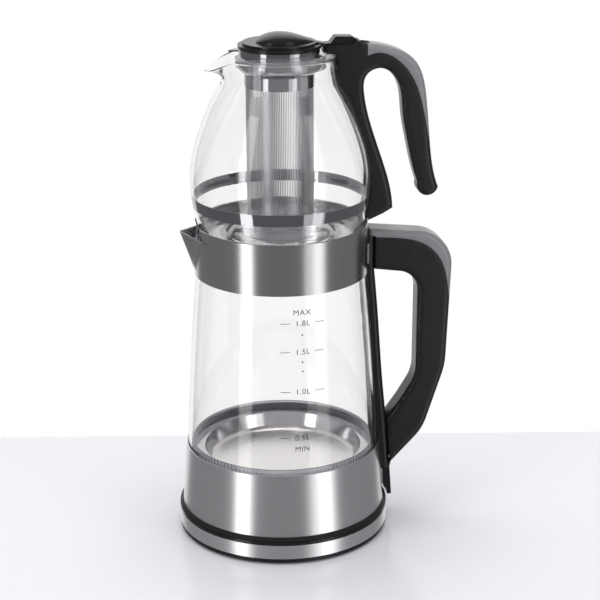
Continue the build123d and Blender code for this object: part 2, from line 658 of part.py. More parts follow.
with BuildPart() as kettle_control:
    with BuildSketch(Plane.XY.offset(Z_SOCKET_TOP)):
        RectangleRounded(CONTROL_L, CONTROL_W, CONTROL_CORNER_R)
    extrude(amount=CONTROL_H)
    with BuildSketch(Plane.XY.offset(Z_CONTROL_TOP)):
        with GridLocations(POST_SPAN, 0.0, 2, 1):
            Circle(POST_R)
    extrude(amount=Z_SPREADER - Z_CONTROL_TOP)

with BuildPart() as heat_spreader:
    with BuildSketch(Plane.XY.offset(Z_SPREADER)):
        Circle(SPREADER_R)
    extrude(amount=SPREADER_T)

ELEMENT_TURN = (360.0 - ELEMENT_SWEEP) / 2
TERMINAL_DEG = ELEMENT_TURN + TERMINAL_TURN

with BuildPart() as heating_element:
    with BuildSketch(Plane.XZ.rotated((0, 0, ELEMENT_TURN))):
        with Locations((ELEMENT_RING_R, Z_ELEMENT)):
            Circle(ELEMENT_R)
    revolve(axis=Axis.Z, revolution_arc=ELEMENT_SWEEP)
    with BuildSketch(Plane.XY.offset(Z_ELEMENT - ELEMENT_TAIL)):
        for turn in (TERMINAL_DEG, -TERMINAL_DEG):
            with PolarLocations(ELEMENT_RING_R, 1, start_angle=turn):
                Circle(TERMINAL_R)
    extrude(amount=ELEMENT_TAIL)

with BuildPart() as kettle_floor:
    with BuildSketch(Plane.XZ):
        Polygon(
            (0, Z_PAN),
            (PAN_FLOOR_R - PAN_CORNER, Z_PAN),
            (PAN_FLOOR_R, Z_PAN + PAN_CORNER),
            (PAN_RIM_R, Z_GLASS + PAN_T),
            (PAN_FLANGE_R, Z_GLASS + PAN_T),
            (PAN_FLANGE_R, Z_GLASS),
            (PAN_RIM_R + PAN_T, Z_GLASS),
            (PAN_FLOOR_R + PAN_T, Z_PAN + PAN_CORNER),
            (PAN_FLOOR_R - PAN_CORNER + PAN_T / 2, Z_PAN - PAN_T),
            (0, Z_PAN - PAN_T),
            align=None,
        )
    revolve(axis=Axis.Z)

with BuildPart() as glass_gasket:
    with BuildSketch(Plane.XY.offset(Z_LEDGE)):
        ring_outline(CHASSIS_TOP_R, LEDGE_R + BODY_GAP)
    extrude(amount=GASKET_T)
    with BuildSketch(Plane.XY.offset(Z_GLASS)):
        ring_outline(UPSTAND_R, UPSTAND_R - UPSTAND_T)
    extrude(amount=UPSTAND_H + RIB_H)
    with BuildSketch(Plane.XY.offset(Z_GLASS + UPSTAND_H)):
        with PolarLocations(UPSTAND_R, RIB_COUNT):
            Rectangle(UPSTAND_T, RIB_SLOT)
    extrude(amount=RIB_H, mode=Mode.SUBTRACT)

# ================= kettle glass and collar =================
with BuildPart() as kettle_glass:
    with BuildSketch(Plane.XZ):
        with BuildLine():
            kettle_glass_line(0.0)
            kettle_glass_line(-GLASS_T)
            Line((GLASS_FOOT_R, Z_GLASS), (GLASS_FOOT_R - GLASS_T, Z_GLASS))
            Line((GLASS_TOP_R, Z_GLASS_TOP), (GLASS_TOP_R - GLASS_T, Z_GLASS_TOP))
        make_face()
    revolve(axis=Axis.Z)
    fillet(kettle_glass.edges().group_by(Axis.Z)[-1], radius=GLASS_T / 3)

MOUTH_X = (COLLAR_R**2 - SPOUT_SEAM_W**2 / 4) ** 0.5

with BuildPart() as kettle_collar:
    with BuildSketch(Plane.XY.offset(COLLAR_Z)):
        ring_outline(COLLAR_R, COLLAR_R_IN)
    extrude(amount=COLLAR_H - COLLAR_BEAD_R)
    with BuildSketch(Plane.XZ):
        with Locations((COLLAR_R - COLLAR_BEAD_R, Z_COLLAR_TOP - COLLAR_BEAD_R)):
            Circle(COLLAR_BEAD_R)
    revolve(axis=Axis.Z)
    with BuildSketch(Plane.YZ.offset(-COLLAR_R - BEYOND)):
        Polygon(
            (-NOTCH_RIM_W / 2, Z_COLLAR_TOP + BEYOND),
            (-NOTCH_W / 2, SPOUT_SEAM_Z),
            (-NOTCH_LOW_W / 2, SPOUT_Z_LOW + NOTCH_RISE),
            (NOTCH_LOW_W / 2, SPOUT_Z_LOW + NOTCH_RISE),
            (NOTCH_W / 2, SPOUT_SEAM_Z),
            (NOTCH_RIM_W / 2, Z_COLLAR_TOP + BEYOND),
            align=None,
        )
    extrude(amount=COLLAR_R / 2, mode=Mode.SUBTRACT)

with BuildPart() as collar_seal:
    with BuildSketch(Plane.XY.offset(Z_GLASS_TOP)):
        ring_outline(COLLAR_R_IN - BODY_GAP, GLASS_TOP_R - GLASS_T)
    extrude(amount=SEAL_H)

with BuildPart() as pot_seat:
    with BuildSketch(Plane.XY.offset(SEAT_Z - SEAT_T)):
        ring_outline(COLLAR_R_IN - PLUG_GAP, POT_FOOT_R - SEAT_REACH)
    extrude(amount=SEAT_T)
    with BuildSketch(Plane.XY.offset(Z_GLASS_TOP + SEAL_H)):
        ring_outline(GLASS_TOP_R, GLASS_TOP_R - SEAT_T)
    extrude(amount=SEAT_Z - SEAT_T - Z_GLASS_TOP - SEAL_H)
    with BuildSketch(Plane.XY.offset(Z_GLASS_TOP)):
        with Locations((SEAT_FLOW_W_IN - COLLAR_R, 0)):
            Rectangle(COLLAR_R, SEAT_FLOW_W, align=(Align.MAX, Align.CENTER))
    extrude(amount=COLLAR_H, mode=Mode.SUBTRACT)

SEAM_R = COLLAR_R - PLUG_GAP
SEAM_LOW_X = (SEAM_R**2 - SPOUT_FOOT_W**2 / 4) ** 0.5
SEAM_TOP_X = (SEAM_R**2 - SPOUT_SEAM_W**2 / 4) ** 0.5
SEAM_RISE = SPOUT_SEAM_Z - SPOUT_Z_LOW
NOSE_GROWTH = (SPOUT_TIP_R - SPOUT_FOOT_R) / (SPOUT_TIP_Z - SPOUT_Z_LOW)
SPOUT_TOP_RISE = SPOUT_TIP_Z - SPOUT_Z_LOW + BEYOND


def spout_section(rise, inset):
    """Arrowhead of the spout at a height above its foot, drawn back from the nose by inset."""
    share = rise / SEAM_RISE
    nose = SPOUT_FOOT_R + NOSE_GROWTH * rise - inset
    half = (SPOUT_FOOT_W + (SPOUT_SEAM_W - SPOUT_FOOT_W) * share) / 2
    seam = SEAM_LOW_X + (SEAM_TOP_X - SEAM_LOW_X) * share - inset
    back = seam - SPOUT_ROOT
    Polygon((-nose, 0), (-seam, half), (-back, half), (-back, -half), (-seam, -half), align=None)


def spout_body(inset, nose_r):
    """Solid arrowhead of the spout from its foot to above its mouth."""
    with BuildPart() as body:
        for rise in (0.0, SPOUT_TOP_RISE):
            with BuildSketch(Plane.XY.offset(SPOUT_Z_LOW + rise)):
                spout_section(rise, inset)
        loft(ruled=True)
        fillet(body.edges().sort_by(Axis.X)[0], radius=nose_r)
    return body


spout_outside = spout_body(0.0, SPOUT_NOSE_R)
spout_inside = spout_body(SPOUT_T * SLANT, SPOUT_NOSE_R - SPOUT_T)

with BuildPart() as kettle_spout:
    add(spout_outside.part)
    add(spout_inside.part, mode=Mode.SUBTRACT)
    with BuildSketch(Plane.XY.offset(COLLAR_Z)):
        Circle(COLLAR_R)
    extrude(amount=COLLAR_H, mode=Mode.SUBTRACT)
    with BuildSketch(Plane.XZ):
        Polygon(
            (-MOUTH_X + SPOUT_ROOT, SPOUT_SEAM_Z),
            (-MOUTH_X, SPOUT_SEAM_Z),
            (-SPOUT_TIP_R, SPOUT_TIP_Z),
            (-SPOUT_TIP_R - SPOUT_ROOT, SPOUT_TIP_Z),
            (-SPOUT_TIP_R - SPOUT_ROOT, Z_COLLAR_TOP),
            (-MOUTH_X + SPOUT_ROOT, Z_COLLAR_TOP),
            align=None,
        )
    extrude(amount=SPOUT_SEAM_W, both=True, mode=Mode.SUBTRACT)

# ================= kettle handle and power lever =================
with BuildPart() as kettle_envelope:
    with BuildSketch(Plane.XZ):
        with BuildLine():
            kettle_glass_line(BODY_GAP)
            Polyline(
                (GLASS_FOOT_R + BODY_GAP, Z_GLASS),
                (GLASS_FOOT_R + BODY_GAP, Z_SHELL_TOP),
                (SHELL_TOP_R + BODY_GAP, Z_SHELL_TOP),
                (SHELL_FOOT_R + BODY_GAP, Z_SHELL),
                (0, Z_SHELL),
                (0, Z_GLASS_TOP),
                (GLASS_TOP_R + BODY_GAP, Z_GLASS_TOP),
            )
        make_face()
    revolve(axis=Axis.Z)
    with BuildSketch(Plane.XY.offset(COLLAR_Z)):
        Circle(COLLAR_R + BODY_GAP)
    extrude(amount=COLLAR_H)


# ---- helpers for pieces that are cut from the side ----
def side_block(points, width):
    """Straight-sided block across a width, from an outline in the plane Y = 0."""
    with BuildPart() as block:
        with BuildSketch(Plane.XZ):
            Polygon(*points, align=None)
        extrude(amount=width / 2, both=True)
    return block


def side_plane(x, y, z):
    """Plane at a point, facing -Y."""
    return Plane((x, y, z), x_dir=(1, 0, 0), z_dir=(0, -1, 0))


def spine_block(width):
    """Spine of the kettle handle before it is fitted to the kettle, across a width."""
    inner_x = SPINE_LINE[0][0] / 2
    with BuildPart() as block:
        with BuildSketch(Plane.XZ):
            with BuildLine():
                Line(SPINE_LINE[0], SPINE_LINE[1])
                Spline(*SPINE_LINE[1:])
                Polyline(
                    SPINE_LINE[-1],
                    (inner_x, SPINE_LINE[-1][1]),
                    (inner_x, SPINE_LINE[0][1]),
                    SPINE_LINE[0],
                )
            make_face()
        extrude(amount=width / 2, both=True)
    return block


# ---- rooms that several pieces of the handle share ----
BRACKET_TOP_Z = BRACKET_Z + BRACKET_T
TAB_L = BRACKET_REACH - BRACKET_T / 2
ROOM_END_X = BRACKET_END_X + PLUG_GAP
bracket_room = side_block(
    [
        (COLLAR_R_IN, BRACKET_Z - PLUG_GAP),
        (ROOM_END_X, BRACKET_Z - PLUG_GAP),
        (ROOM_END_X, BRACKET_TOP_Z + PLUG_GAP),
        (COLLAR_R_IN, BRACKET_TOP_Z + PLUG_GAP),
    ],
    BRACKET_W + 2 * PLUG_GAP,
)
arm_screw_plane = Plane((ARM_SCREW_X, 0, BRACKET_Z - ARM_SCREW_LEN), z_dir=(0, 0, 1))
arm_screw = single_screw(arm_screw_plane, ARM_SCREW_LEN)
arm_screw_room = single_screw(arm_screw_plane, ARM_SCREW_LEN, grow=PLUG_GAP)
arm_screw_way = round_bar(arm_screw_plane, SCREW_HEAD_R + BODY_GAP, -BRACKET_H)
lever_pocket = side_block(POCKET_OUTLINE, LEVER_W + 2 * SEAT_GAP)
hub_pocket = round_bar(
    side_plane(LEVER_X, LEVER_W / 2 + SEAT_GAP, LEVER_Z), LEVER_HUB_R + SEAT_GAP, LEVER_W + 2 * SEAT_GAP
)
lever_pin = round_bar(
    side_plane(LEVER_X, SPINE_W / 2 - BODY_GAP, LEVER_Z), LEVER_PIN_R, SPINE_W - 2 * BODY_GAP
)
lever_pin_room = round_bar(
    side_plane(LEVER_X, SPINE_W / 2 - BODY_GAP, LEVER_Z), LEVER_PIN_R + PLUG_GAP, SPINE_W - 2 * BODY_GAP
)

with BuildPart() as plate_room:
    with BuildSketch(Plane.XY.offset(BRACKET_Z - BRACKET_H / 2 - PLUG_GAP)):
        Circle(COLLAR_R + BODY_GAP + BRACKET_T)
    extrude(amount=BRACKET_H + 2 * PLUG_GAP)

with BuildPart() as collar_bracket:
    with BuildSketch(Plane.XY.offset(BRACKET_Z - BRACKET_H / 2)):
        ring_outline(COLLAR_R + BRACKET_T, COLLAR_R)
        Rectangle(2 * COLLAR_R, BRACKET_PLATE_W, align=(Align.MIN, Align.CENTER), mode=Mode.INTERSECT)
    extrude(amount=BRACKET_H)
    with BuildSketch(Plane.XY.offset(BRACKET_Z)):
        with Locations((COLLAR_R + BRACKET_T / 2, 0)):
            Rectangle(TAB_L, BRACKET_W, align=(Align.MIN, Align.CENTER))
    extrude(amount=BRACKET_T)
    add(arm_screw_room.part, mode=Mode.SUBTRACT)

with BuildPart() as handle_spine:
    add(spine_block(SPINE_W).part)
    fillet(handle_spine.edges().filter_by(lambda edge: edge.center().X > SPINE_LINE[0][0] - BEYOND)
           .filter_by(Axis.Y, reverse=True), radius=HANDLE_EDGE_R)
    for room in (kettle_envelope, plate_room, bracket_room, low_screw_room, lever_pocket, hub_pocket,
                 lever_pin_room):
        add(room.part, mode=Mode.SUBTRACT)

with BuildPart() as grip_block:
    with BuildSketch(Plane.XZ) as grip_outline:
        Polygon(*GRIP_OUTSIDE, *GRIP_INSIDE, align=None)
        for corner, radius in zip(GRIP_OUTSIDE + GRIP_INSIDE, GRIP_ROUNDS):
            if radius > 0.0:
                fillet(grip_outline.vertices().sort_by_distance(corner)[0], radius=radius)
    extrude(amount=GRIP_W / 2, both=True)
    grip_rims = grip_block.faces().filter_by(Axis.Y).edges()
    fillet(grip_rims.filter_by(Axis.Z, reverse=True), radius=HANDLE_EDGE_R)
    add(spine_block(GRIP_W + BEYOND).part, mode=Mode.SUBTRACT)


def cap_block(line, far_x, width):
    """Everything on the outer side of a dividing line."""
    with BuildPart() as block:
        with BuildSketch(Plane.XZ):
            with BuildLine():
                Spline(*line)
                top_z = line[0][1] + far_x - line[0][0]
                Polyline(line[-1], (far_x, line[-1][1]), (far_x, top_z), (line[0][0], top_z), line[0])
            make_face()
        extrude(amount=width / 2, both=True)
    return block


kettle_cap = cap_block(CAP_LINE, GRIP_OUTSIDE[1][0] + BEYOND, GRIP_W + BEYOND)

with BuildPart() as kettle_grip:
    add(grip_block.part)
    add(kettle_cap.part, mode=Mode.SUBTRACT)
    for room in (bracket_room, arm_screw_room, arm_screw_way, low_screw_room, lever_pocket, hub_pocket,
                 lever_pin_room):
        add(room.part, mode=Mode.SUBTRACT)

with BuildPart() as kettle_grip_trim:
    add(grip_block.part)
    add(kettle_cap.part, mode=Mode.INTERSECT)

with BuildPart() as handle_screws:
    add(low_screw.part)
    add(arm_screw.part)

with BuildPart() as power_lever:
    with BuildSketch(Plane.XZ):
        Polygon(*LEVER_OUTLINE, align=None)
        with Locations((LEVER_X, LEVER_Z)):
            Circle(LEVER_HUB_R)
            Circle(LEVER_PIN_R + PLUG_GAP, mode=Mode.SUBTRACT)
    extrude(amount=LEVER_W / 2, both=True)

# ================= teapot =================
def heel_line(grow):
    """Arc between the foot of the teapot and its side, moved inwards by grow."""
    lift = grow * cos(radians(HEEL_DEG))
    ThreePointArc(
        (POT_FOOT_R - grow, Z_POT + grow),
        (HEEL_TOP_R - HEEL_MID[0] - grow, Z_POT + HEEL_MID[1] + lift),
        (POT_SIDE[0][0] - grow, Z_POT + POT_SIDE[0][1]),
    )


def lip_body(inset, nose_r):
    """Solid wedge of the pouring lip, drawn back from its nose by inset."""
    with BuildPart() as body:
        for rise, width, nose in ((0.0, LIP_W_LOW, LIP_R_LOW), (LIP_RISE, LIP_W_HIGH, LIP_R_HIGH)):
            seam = (POT_NECK_R**2 - width**2 / 4) ** 0.5
            with BuildSketch(Plane.XY.offset(LIP_Z_LOW + rise)):
                Polygon(
                    (inset - nose, 0),
                    (inset - seam, width / 2),
                    (inset - seam + LIP_ROOT, width / 2),
                    (inset - seam + LIP_ROOT, -width / 2),
                    (inset - seam, -width / 2),
                    align=None,
                )
        loft(ruled=True)
        fillet(body.edges().sort_by(Axis.X)[0], radius=nose_r)
    return body


lip_outside = lip_body(0.0, LIP_NOSE_R)
lip_inside = lip_body(POT_T * SLANT, LIP_NOSE_R - POT_T / 2)
LIP_FALL = sin(radians(LIP_SLOPE)) / cos(radians(LIP_SLOPE))
LIP_FAR_X = LIP_R_HIGH + BEYOND
LIP_RIM_X = LIP_TIP_X - (Z_RIM - LIP_TIP_Z) / LIP_FALL

with BuildPart() as teapot_glass:
    with BuildSketch(Plane.XZ):
        with BuildLine():
            pot_side_line(0.0)
            heel_line(0.0)
            Polyline(
                (POT_FOOT_R, Z_POT),
                (PUNT_R, Z_POT),
                (PUNT_R - PUNT_SLOPE, Z_POT + PUNT_H),
                (0, Z_POT + PUNT_H),
                (0, Z_POT + PUNT_H + POT_T),
                (PUNT_R - PUNT_SLOPE + POT_T / 2, Z_POT + PUNT_H + POT_T),
                (PUNT_R + POT_T / 2, Z_POT + POT_T),
                (POT_FOOT_R - POT_T, Z_POT + POT_T),
            )
            heel_line(POT_T)
            pot_side_line(-POT_T)
            Line((POT_NECK_R, Z_RIM), (POT_NECK_R - POT_T, Z_RIM))
        make_face()
    revolve(axis=Axis.Z)
    fillet(teapot_glass.edges().group_by(Axis.Z)[-1], radius=POT_T / 3)
    add(lip_outside.part)
    with BuildSketch(Plane.XY.offset(LIP_Z_LOW)):
        Circle(POT_NECK_R - POT_T)
    extrude(amount=Z_RIM - LIP_Z_LOW, mode=Mode.SUBTRACT)
    add(lip_inside.part, mode=Mode.SUBTRACT)
    with BuildSketch(Plane.XZ):
        Polygon(
            (-LIP_FAR_X, LIP_TIP_Z - (LIP_FAR_X - LIP_TIP_X) * LIP_FALL),
            (-LIP_RIM_X, Z_RIM),
            (-LIP_RIM_X, Z_RIM + BEYOND),
            (-LIP_FAR_X, Z_RIM + BEYOND),
            align=None,
        )
    extrude(amount=POT_NECK_R, both=True, mode=Mode.SUBTRACT)


def pot_layer(inner, outer, rise, height):
    """Layer that hugs the teapot's side between two offsets, over a height above its foot."""
    heel_z = Z_POT + POT_SIDE[0][1]
    with BuildPart() as layer:
        with BuildSketch(Plane.XZ):
            with BuildLine():
                pot_side_line(inner)
                pot_side_line(outer)
                Line((POT_SIDE[0][0] + inner, heel_z), (POT_SIDE[0][0] + outer, heel_z))
                Line((POT_NECK_R + inner, Z_RIM), (POT_NECK_R + outer, Z_RIM))
            make_face()
        revolve(axis=Axis.Z)
        with BuildSketch(Plane.XY.offset(Z_POT + rise)):
            Circle(POT_BELLY_R + outer + BEYOND)
        extrude(amount=height, mode=Mode.INTERSECT)
    return layer


def lug_block(grow):
    """Folded ends of the band where they stand out from the glass, grown by a clearance."""
    with BuildPart() as block:
        with BuildSketch(Plane.XY.offset(Z_POT + BAND_LOW - grow)):
            with Locations((POT_SIDE[1][0], 0)):
                Rectangle(BAND_LUG + 2 * grow, BAND_LUG_T + 2 * grow, align=(Align.MIN, Align.CENTER))
        extrude(amount=BAND_H + 2 * grow)
    return block


BAND_MID_Z = Z_POT + BAND_LOW + BAND_H / 2
band_screw_plane = side_plane(POT_SIDE[1][0] + BAND_SCREW_REACH, POT_HANDLE_W / 2 - BAND_SCREW_SINK, BAND_MID_Z)
band_screw = single_screw(band_screw_plane, BAND_SCREW_LEN)
band_screw_room = single_screw(band_screw_plane, BAND_SCREW_LEN, grow=PLUG_GAP)
band_screw_way = round_bar(band_screw_plane, SCREW_HEAD_R + BODY_GAP, -2 * BAND_SCREW_SINK)
band_room = pot_layer(-POT_T, BAND_T + BODY_GAP, BAND_LOW - BODY_GAP, BAND_H + 2 * BODY_GAP)
lug_room = lug_block(PLUG_GAP)

with BuildPart() as teapot_band:
    add(lug_block(0.0).part)
    add(pot_layer(-POT_T, PLUG_GAP, BAND_LOW, BAND_H).part, mode=Mode.SUBTRACT)
    add(pot_layer(PLUG_GAP, PLUG_GAP + BAND_T, BAND_LOW, BAND_H).part)
    add(band_screw_room.part, mode=Mode.SUBTRACT)

# ---- teapot handle: hook over the spine, with the ears of the lid hinge ----
Z_CLEAR = Z_HINGE + 2 * EAR_R

with BuildPart() as pot_envelope:
    with BuildSketch(Plane.XZ):
        with BuildLine():
            pot_side_line(BODY_GAP, top=Z_CLEAR)
            Polyline(
                (POT_NECK_R + BODY_GAP, Z_CLEAR),
                (0, Z_CLEAR),
                (0, Z_POT + POT_SIDE[0][1]),
                (POT_SIDE[0][0] + BODY_GAP, Z_POT + POT_SIDE[0][1]),
            )
        make_face()
    revolve(axis=Axis.Z)
    with BuildSketch(Plane.XY.offset(Z_POT)):
        Circle(COLLAR_R + COLLAR_CLEAR)
    extrude(amount=Z_COLLAR_TOP + COLLAR_CLEAR - Z_POT)

CLIP_FACE_X = POT_NECK_R - POT_T - SEAT_GAP
Z_CLIP = Z_RIM + BODY_GAP
clip_screw_plane = Plane((CLIP_SCREW_X, 0, Z_CLIP + CLIP_T + CLIP_SCREW_HEAD_H), z_dir=(0, 0, -1))
clip_screw = single_screw(
    clip_screw_plane, CLIP_SCREW_LEN, head_r=CLIP_SCREW_HEAD_R, head_h=CLIP_SCREW_HEAD_H
)
clip_screw_room = round_bar(
    clip_screw_plane, SCREW_R + PLUG_GAP, CLIP_SCREW_LEN + CLIP_SCREW_HEAD_H + PLUG_GAP
)
clip_room = side_block(
    [
        (POT_NECK_R - POT_T, Z_CLIP - PLUG_GAP),
        (CLIP_END_X + PLUG_GAP, Z_CLIP - PLUG_GAP),
        (CLIP_END_X + PLUG_GAP, Z_SLOT + PLUG_GAP),
        (POT_NECK_R - POT_T, Z_SLOT + PLUG_GAP),
    ],
    CLIP_W + 2 * PLUG_GAP,
)
Z_HEAD = Z_SLOT + SEAT_GAP
SLOT_LOW_X = HEAD_X - BEYOND
arm_slot = side_block(
    [(SLOT_LOW_X, Z_SLOT), (SLOT_END_X, Z_SLOT), (SLOT_END_X, Z_CLEAR), (SLOT_LOW_X, Z_CLEAR)],
    ARM_W + 2 * SEAT_GAP,
)
hinge_pin = round_bar(side_plane(HINGE_X, HINGE_PIN_L / 2, Z_HINGE), HINGE_PIN_R, HINGE_PIN_L)
hinge_pin_room = round_bar(side_plane(HINGE_X, HINGE_PIN_L / 2, Z_HINGE), HINGE_PIN_R + PLUG_GAP, HINGE_PIN_L)

with BuildPart() as rim_clip:
    with BuildSketch(Plane.XZ):
        Polygon(
            (CLIP_FACE_X - CLIP_T, Z_RIM - CLIP_DROP),
            (CLIP_FACE_X, Z_RIM - CLIP_DROP),
            (CLIP_FACE_X, Z_CLIP),
            (CLIP_END_X, Z_CLIP),
            (CLIP_END_X, Z_CLIP + CLIP_T),
            (CLIP_FACE_X - CLIP_T, Z_CLIP + CLIP_T),
            align=None,
        )
    extrude(amount=CLIP_W / 2, both=True)
    add(clip_screw_room.part, mode=Mode.SUBTRACT)

with BuildPart() as hook_block:
    with BuildSketch(Plane.XZ):
        with BuildLine():
            Polyline(*POT_GRIP_FOOT, POT_GRIP_IN[0])
            Spline(*POT_GRIP_IN, *POT_GRIP_ARCH)
            ThreePointArc(POT_GRIP_ARCH[-1], POT_GRIP_END, POT_GRIP_OUT[0])
            Spline(*POT_GRIP_OUT)
            Polyline(POT_GRIP_OUT[-1], *POT_GRIP_TOP, POT_GRIP_FOOT[0])
        make_face()
    extrude(amount=POT_HANDLE_W / 2, both=True)
    hook_rims = hook_block.faces().filter_by(Axis.Y).edges()
    fillet(hook_rims.filter_by(Axis.Z, reverse=True), radius=HANDLE_EDGE_R)
    add(round_bar(side_plane(HINGE_X, POT_HANDLE_W / 2, Z_HINGE), EAR_R, POT_HANDLE_W).part)
    add(pot_envelope.part, mode=Mode.SUBTRACT)

with BuildPart() as head_block:
    with BuildSketch(Plane.XZ) as head_outline:
        Polygon(
            (HEAD_X, Z_HEAD),
            (HEAD_X, Z_HEAD + HEAD_H),
            (HINGE_X, Z_HEAD + HEAD_H),
            (HINGE_X, Z_HEAD),
            align=None,
        )
        fillet(head_outline.vertices().sort_by_distance((HEAD_X, Z_HEAD + HEAD_H))[0], radius=HEAD_NOSE_R)
    extrude(amount=POT_HANDLE_W / 2, both=True)

hook_cap = cap_block(POT_CAP_LINE, POT_GRIP_OUT[0][0] + BEYOND, POT_HANDLE_W + BEYOND)

with BuildPart() as teapot_handle:
    add(hook_block.part)
    add(head_block.part)
    add(hook_cap.part, mode=Mode.SUBTRACT)
    for room in (arm_slot, clip_room, clip_screw_room, hinge_pin_room, band_room, lug_room,
                 band_screw_room, band_screw_way):
        add(room.part, mode=Mode.SUBTRACT)

with BuildPart() as teapot_handle_trim:
    add(hook_block.part)
    add(hook_cap.part, mode=Mode.INTERSECT)
    add(arm_slot.part, mode=Mode.SUBTRACT)

# ================= infuser =================
Z_LEDGE_LOW = Z_RIM - SEAT_RING_DROP
RING_NOTCH_W = CLIP_W + 2 * SEAT_GAP

with BuildPart() as infuser_seat:
    with BuildSketch(Plane.XZ):
        Polygon(
            (SEAT_RING_R_IN, Z_RIM + SEAT_RING_T),
            (INFUSER_SEAT_R, Z_RIM + SEAT_RING_T),
            (INFUSER_SEAT_R, Z_RIM + PLUG_GAP),
            (SEAT_RING_R_IN + SEAT_RING_WALL, Z_RIM + PLUG_GAP),
            (SEAT_RING_R_IN + SEAT_RING_WALL, Z_LEDGE_LOW),
            (SEAT_RING_LEDGE_R, Z_LEDGE_LOW),
            (SEAT_RING_LEDGE_R, Z_LEDGE_LOW + SEAT_RING_WALL),
            (SEAT_RING_R_IN, Z_LEDGE_LOW + SEAT_RING_WALL),
            align=None,
        )
    revolve(axis=Axis.Z)
    with BuildSketch(Plane.XY.offset(Z_LEDGE_LOW)):
        Rectangle(POT_NECK_R, SEAT_RING_OPEN_W, align=(Align.MAX, Align.CENTER))
        with Locations((SEAT_RING_R_IN + SEAT_RING_WALL, 0)):
            Rectangle(POT_NECK_R, RING_NOTCH_W, align=(Align.MIN, Align.CENTER))
    extrude(amount=Z_RIM - Z_LEDGE_LOW + SEAT_RING_T, mode=Mode.SUBTRACT)


def infuser_line(inset):
    """Line of the infuser's steel collar from sleeve to skirt, moved inwards by inset."""
    sleeve = (INFUSER_R - inset, Z_POT + SLEEVE_TOP)
    funnel = (FUNNEL_R - inset, Z_POT + FUNNEL_LOW)
    middle = ((sleeve[0] + funnel[0]) / 2 + FUNNEL_BULGE, (sleeve[1] + funnel[1]) / 2 - FUNNEL_BULGE)
    Line((INFUSER_R - inset, Z_POT + SLEEVE_LOW), sleeve)
    ThreePointArc(sleeve, middle, funnel)
    Polyline(
        funnel,
        (FUNNEL_R - inset, Z_POT + FUNNEL_TOP),
        (SKIRT_R - inset, Z_POT + SKIRT_LOW),
        (SKIRT_R - inset, Z_POT + SKIRT_TOP),
    )


with BuildPart() as infuser_collar:
    with BuildSketch(Plane.XZ):
        with BuildLine():
            infuser_line(0.0)
            infuser_line(INFUSER_SHEET)
            Line((INFUSER_R, Z_POT + SLEEVE_LOW), (INFUSER_R - INFUSER_SHEET, Z_POT + SLEEVE_LOW))
            Line((SKIRT_R, Z_POT + SKIRT_TOP), (SKIRT_R - INFUSER_SHEET, Z_POT + SKIRT_TOP))
        make_face()
    revolve(axis=Axis.Z)

BASKET_R = INFUSER_R - INFUSER_SHEET - PLUG_GAP
SLOT_LOW = INFUSER_LOW + SLOT_MARGIN

with BuildPart() as infuser_basket:
    with BuildSketch(Plane.XY.offset(Z_POT + INFUSER_LOW)):
        ring_outline(BASKET_R, BASKET_R - INFUSER_T)
    extrude(amount=SLEEVE_TOP - INFUSER_LOW)
    with BuildSketch(Plane.XY.offset(Z_POT + SLOT_LOW)):
        with PolarLocations(BASKET_R, SLOT_COUNT):
            Rectangle(4 * INFUSER_T, SLOT_W)
    extrude(amount=SLEEVE_LOW - SLOT_LOW - 2 * INFUSER_T, mode=Mode.SUBTRACT)

CAP_R = BASKET_R - INFUSER_T - PLUG_GAP

with BuildPart() as infuser_floor:
    with BuildSketch(Plane.XY.offset(Z_POT + INFUSER_LOW)):
        Circle(CAP_R)
    extrude(amount=MESH_CAP_H)
    with BuildSketch(Plane.XY.offset(Z_POT + INFUSER_LOW + MESH_CAP_T)):
        Circle(CAP_R - MESH_CAP_T)
    extrude(amount=MESH_CAP_H, mode=Mode.SUBTRACT)
    with BuildSketch(Plane.XY.offset(Z_POT + INFUSER_LOW)):
        for holes, ring_r in zip(MESH_COUNTS, MESH_RINGS):
            with PolarLocations(ring_r, holes):
                Circle(MESH_HOLE_R)
    extrude(amount=MESH_CAP_T, mode=Mode.SUBTRACT)

# ================= lid =================
Z_LID_RIM = Z_LID + LID_RIM_H
Z_LID_STEP = Z_LID_RIM + LID_STEP_H
Z_DOME = Z_LID_STEP + DOME_H
Z_PLUG_LOW = Z_LID - PLUG_DROP
Z_LID_SEAL = Z_LID - PLUG_DROP / 2 - LID_SEAL_T / 2

with BuildPart() as arm_block:
    with BuildSketch(Plane.XZ) as arm_outline:
        Polygon(
            *[(x, Z_HINGE + rise) for x, rise in RIDGE],
            *[(HINGE_X + reach, Z_HINGE + rise) for reach, rise in THUMB_TAB + UNDERARM],
            (HINGE_X + UNDERARM[-1][0], Z_LID),
            (ARM_ROOT_X, Z_LID),
            (ARM_ROOT_X, Z_LID_STEP - LID_WALL / 2),
            (RIDGE[0][0], Z_LID_STEP - LID_WALL / 2),
            align=None,
        )
        for reach, rise in THUMB_TAB[1:3]:
            corner = (HINGE_X + reach, Z_HINGE + rise)
            fillet(arm_outline.vertices().sort_by_distance(corner)[0], radius=LID_WALL)
    extrude(amount=ARM_W / 2, both=True)

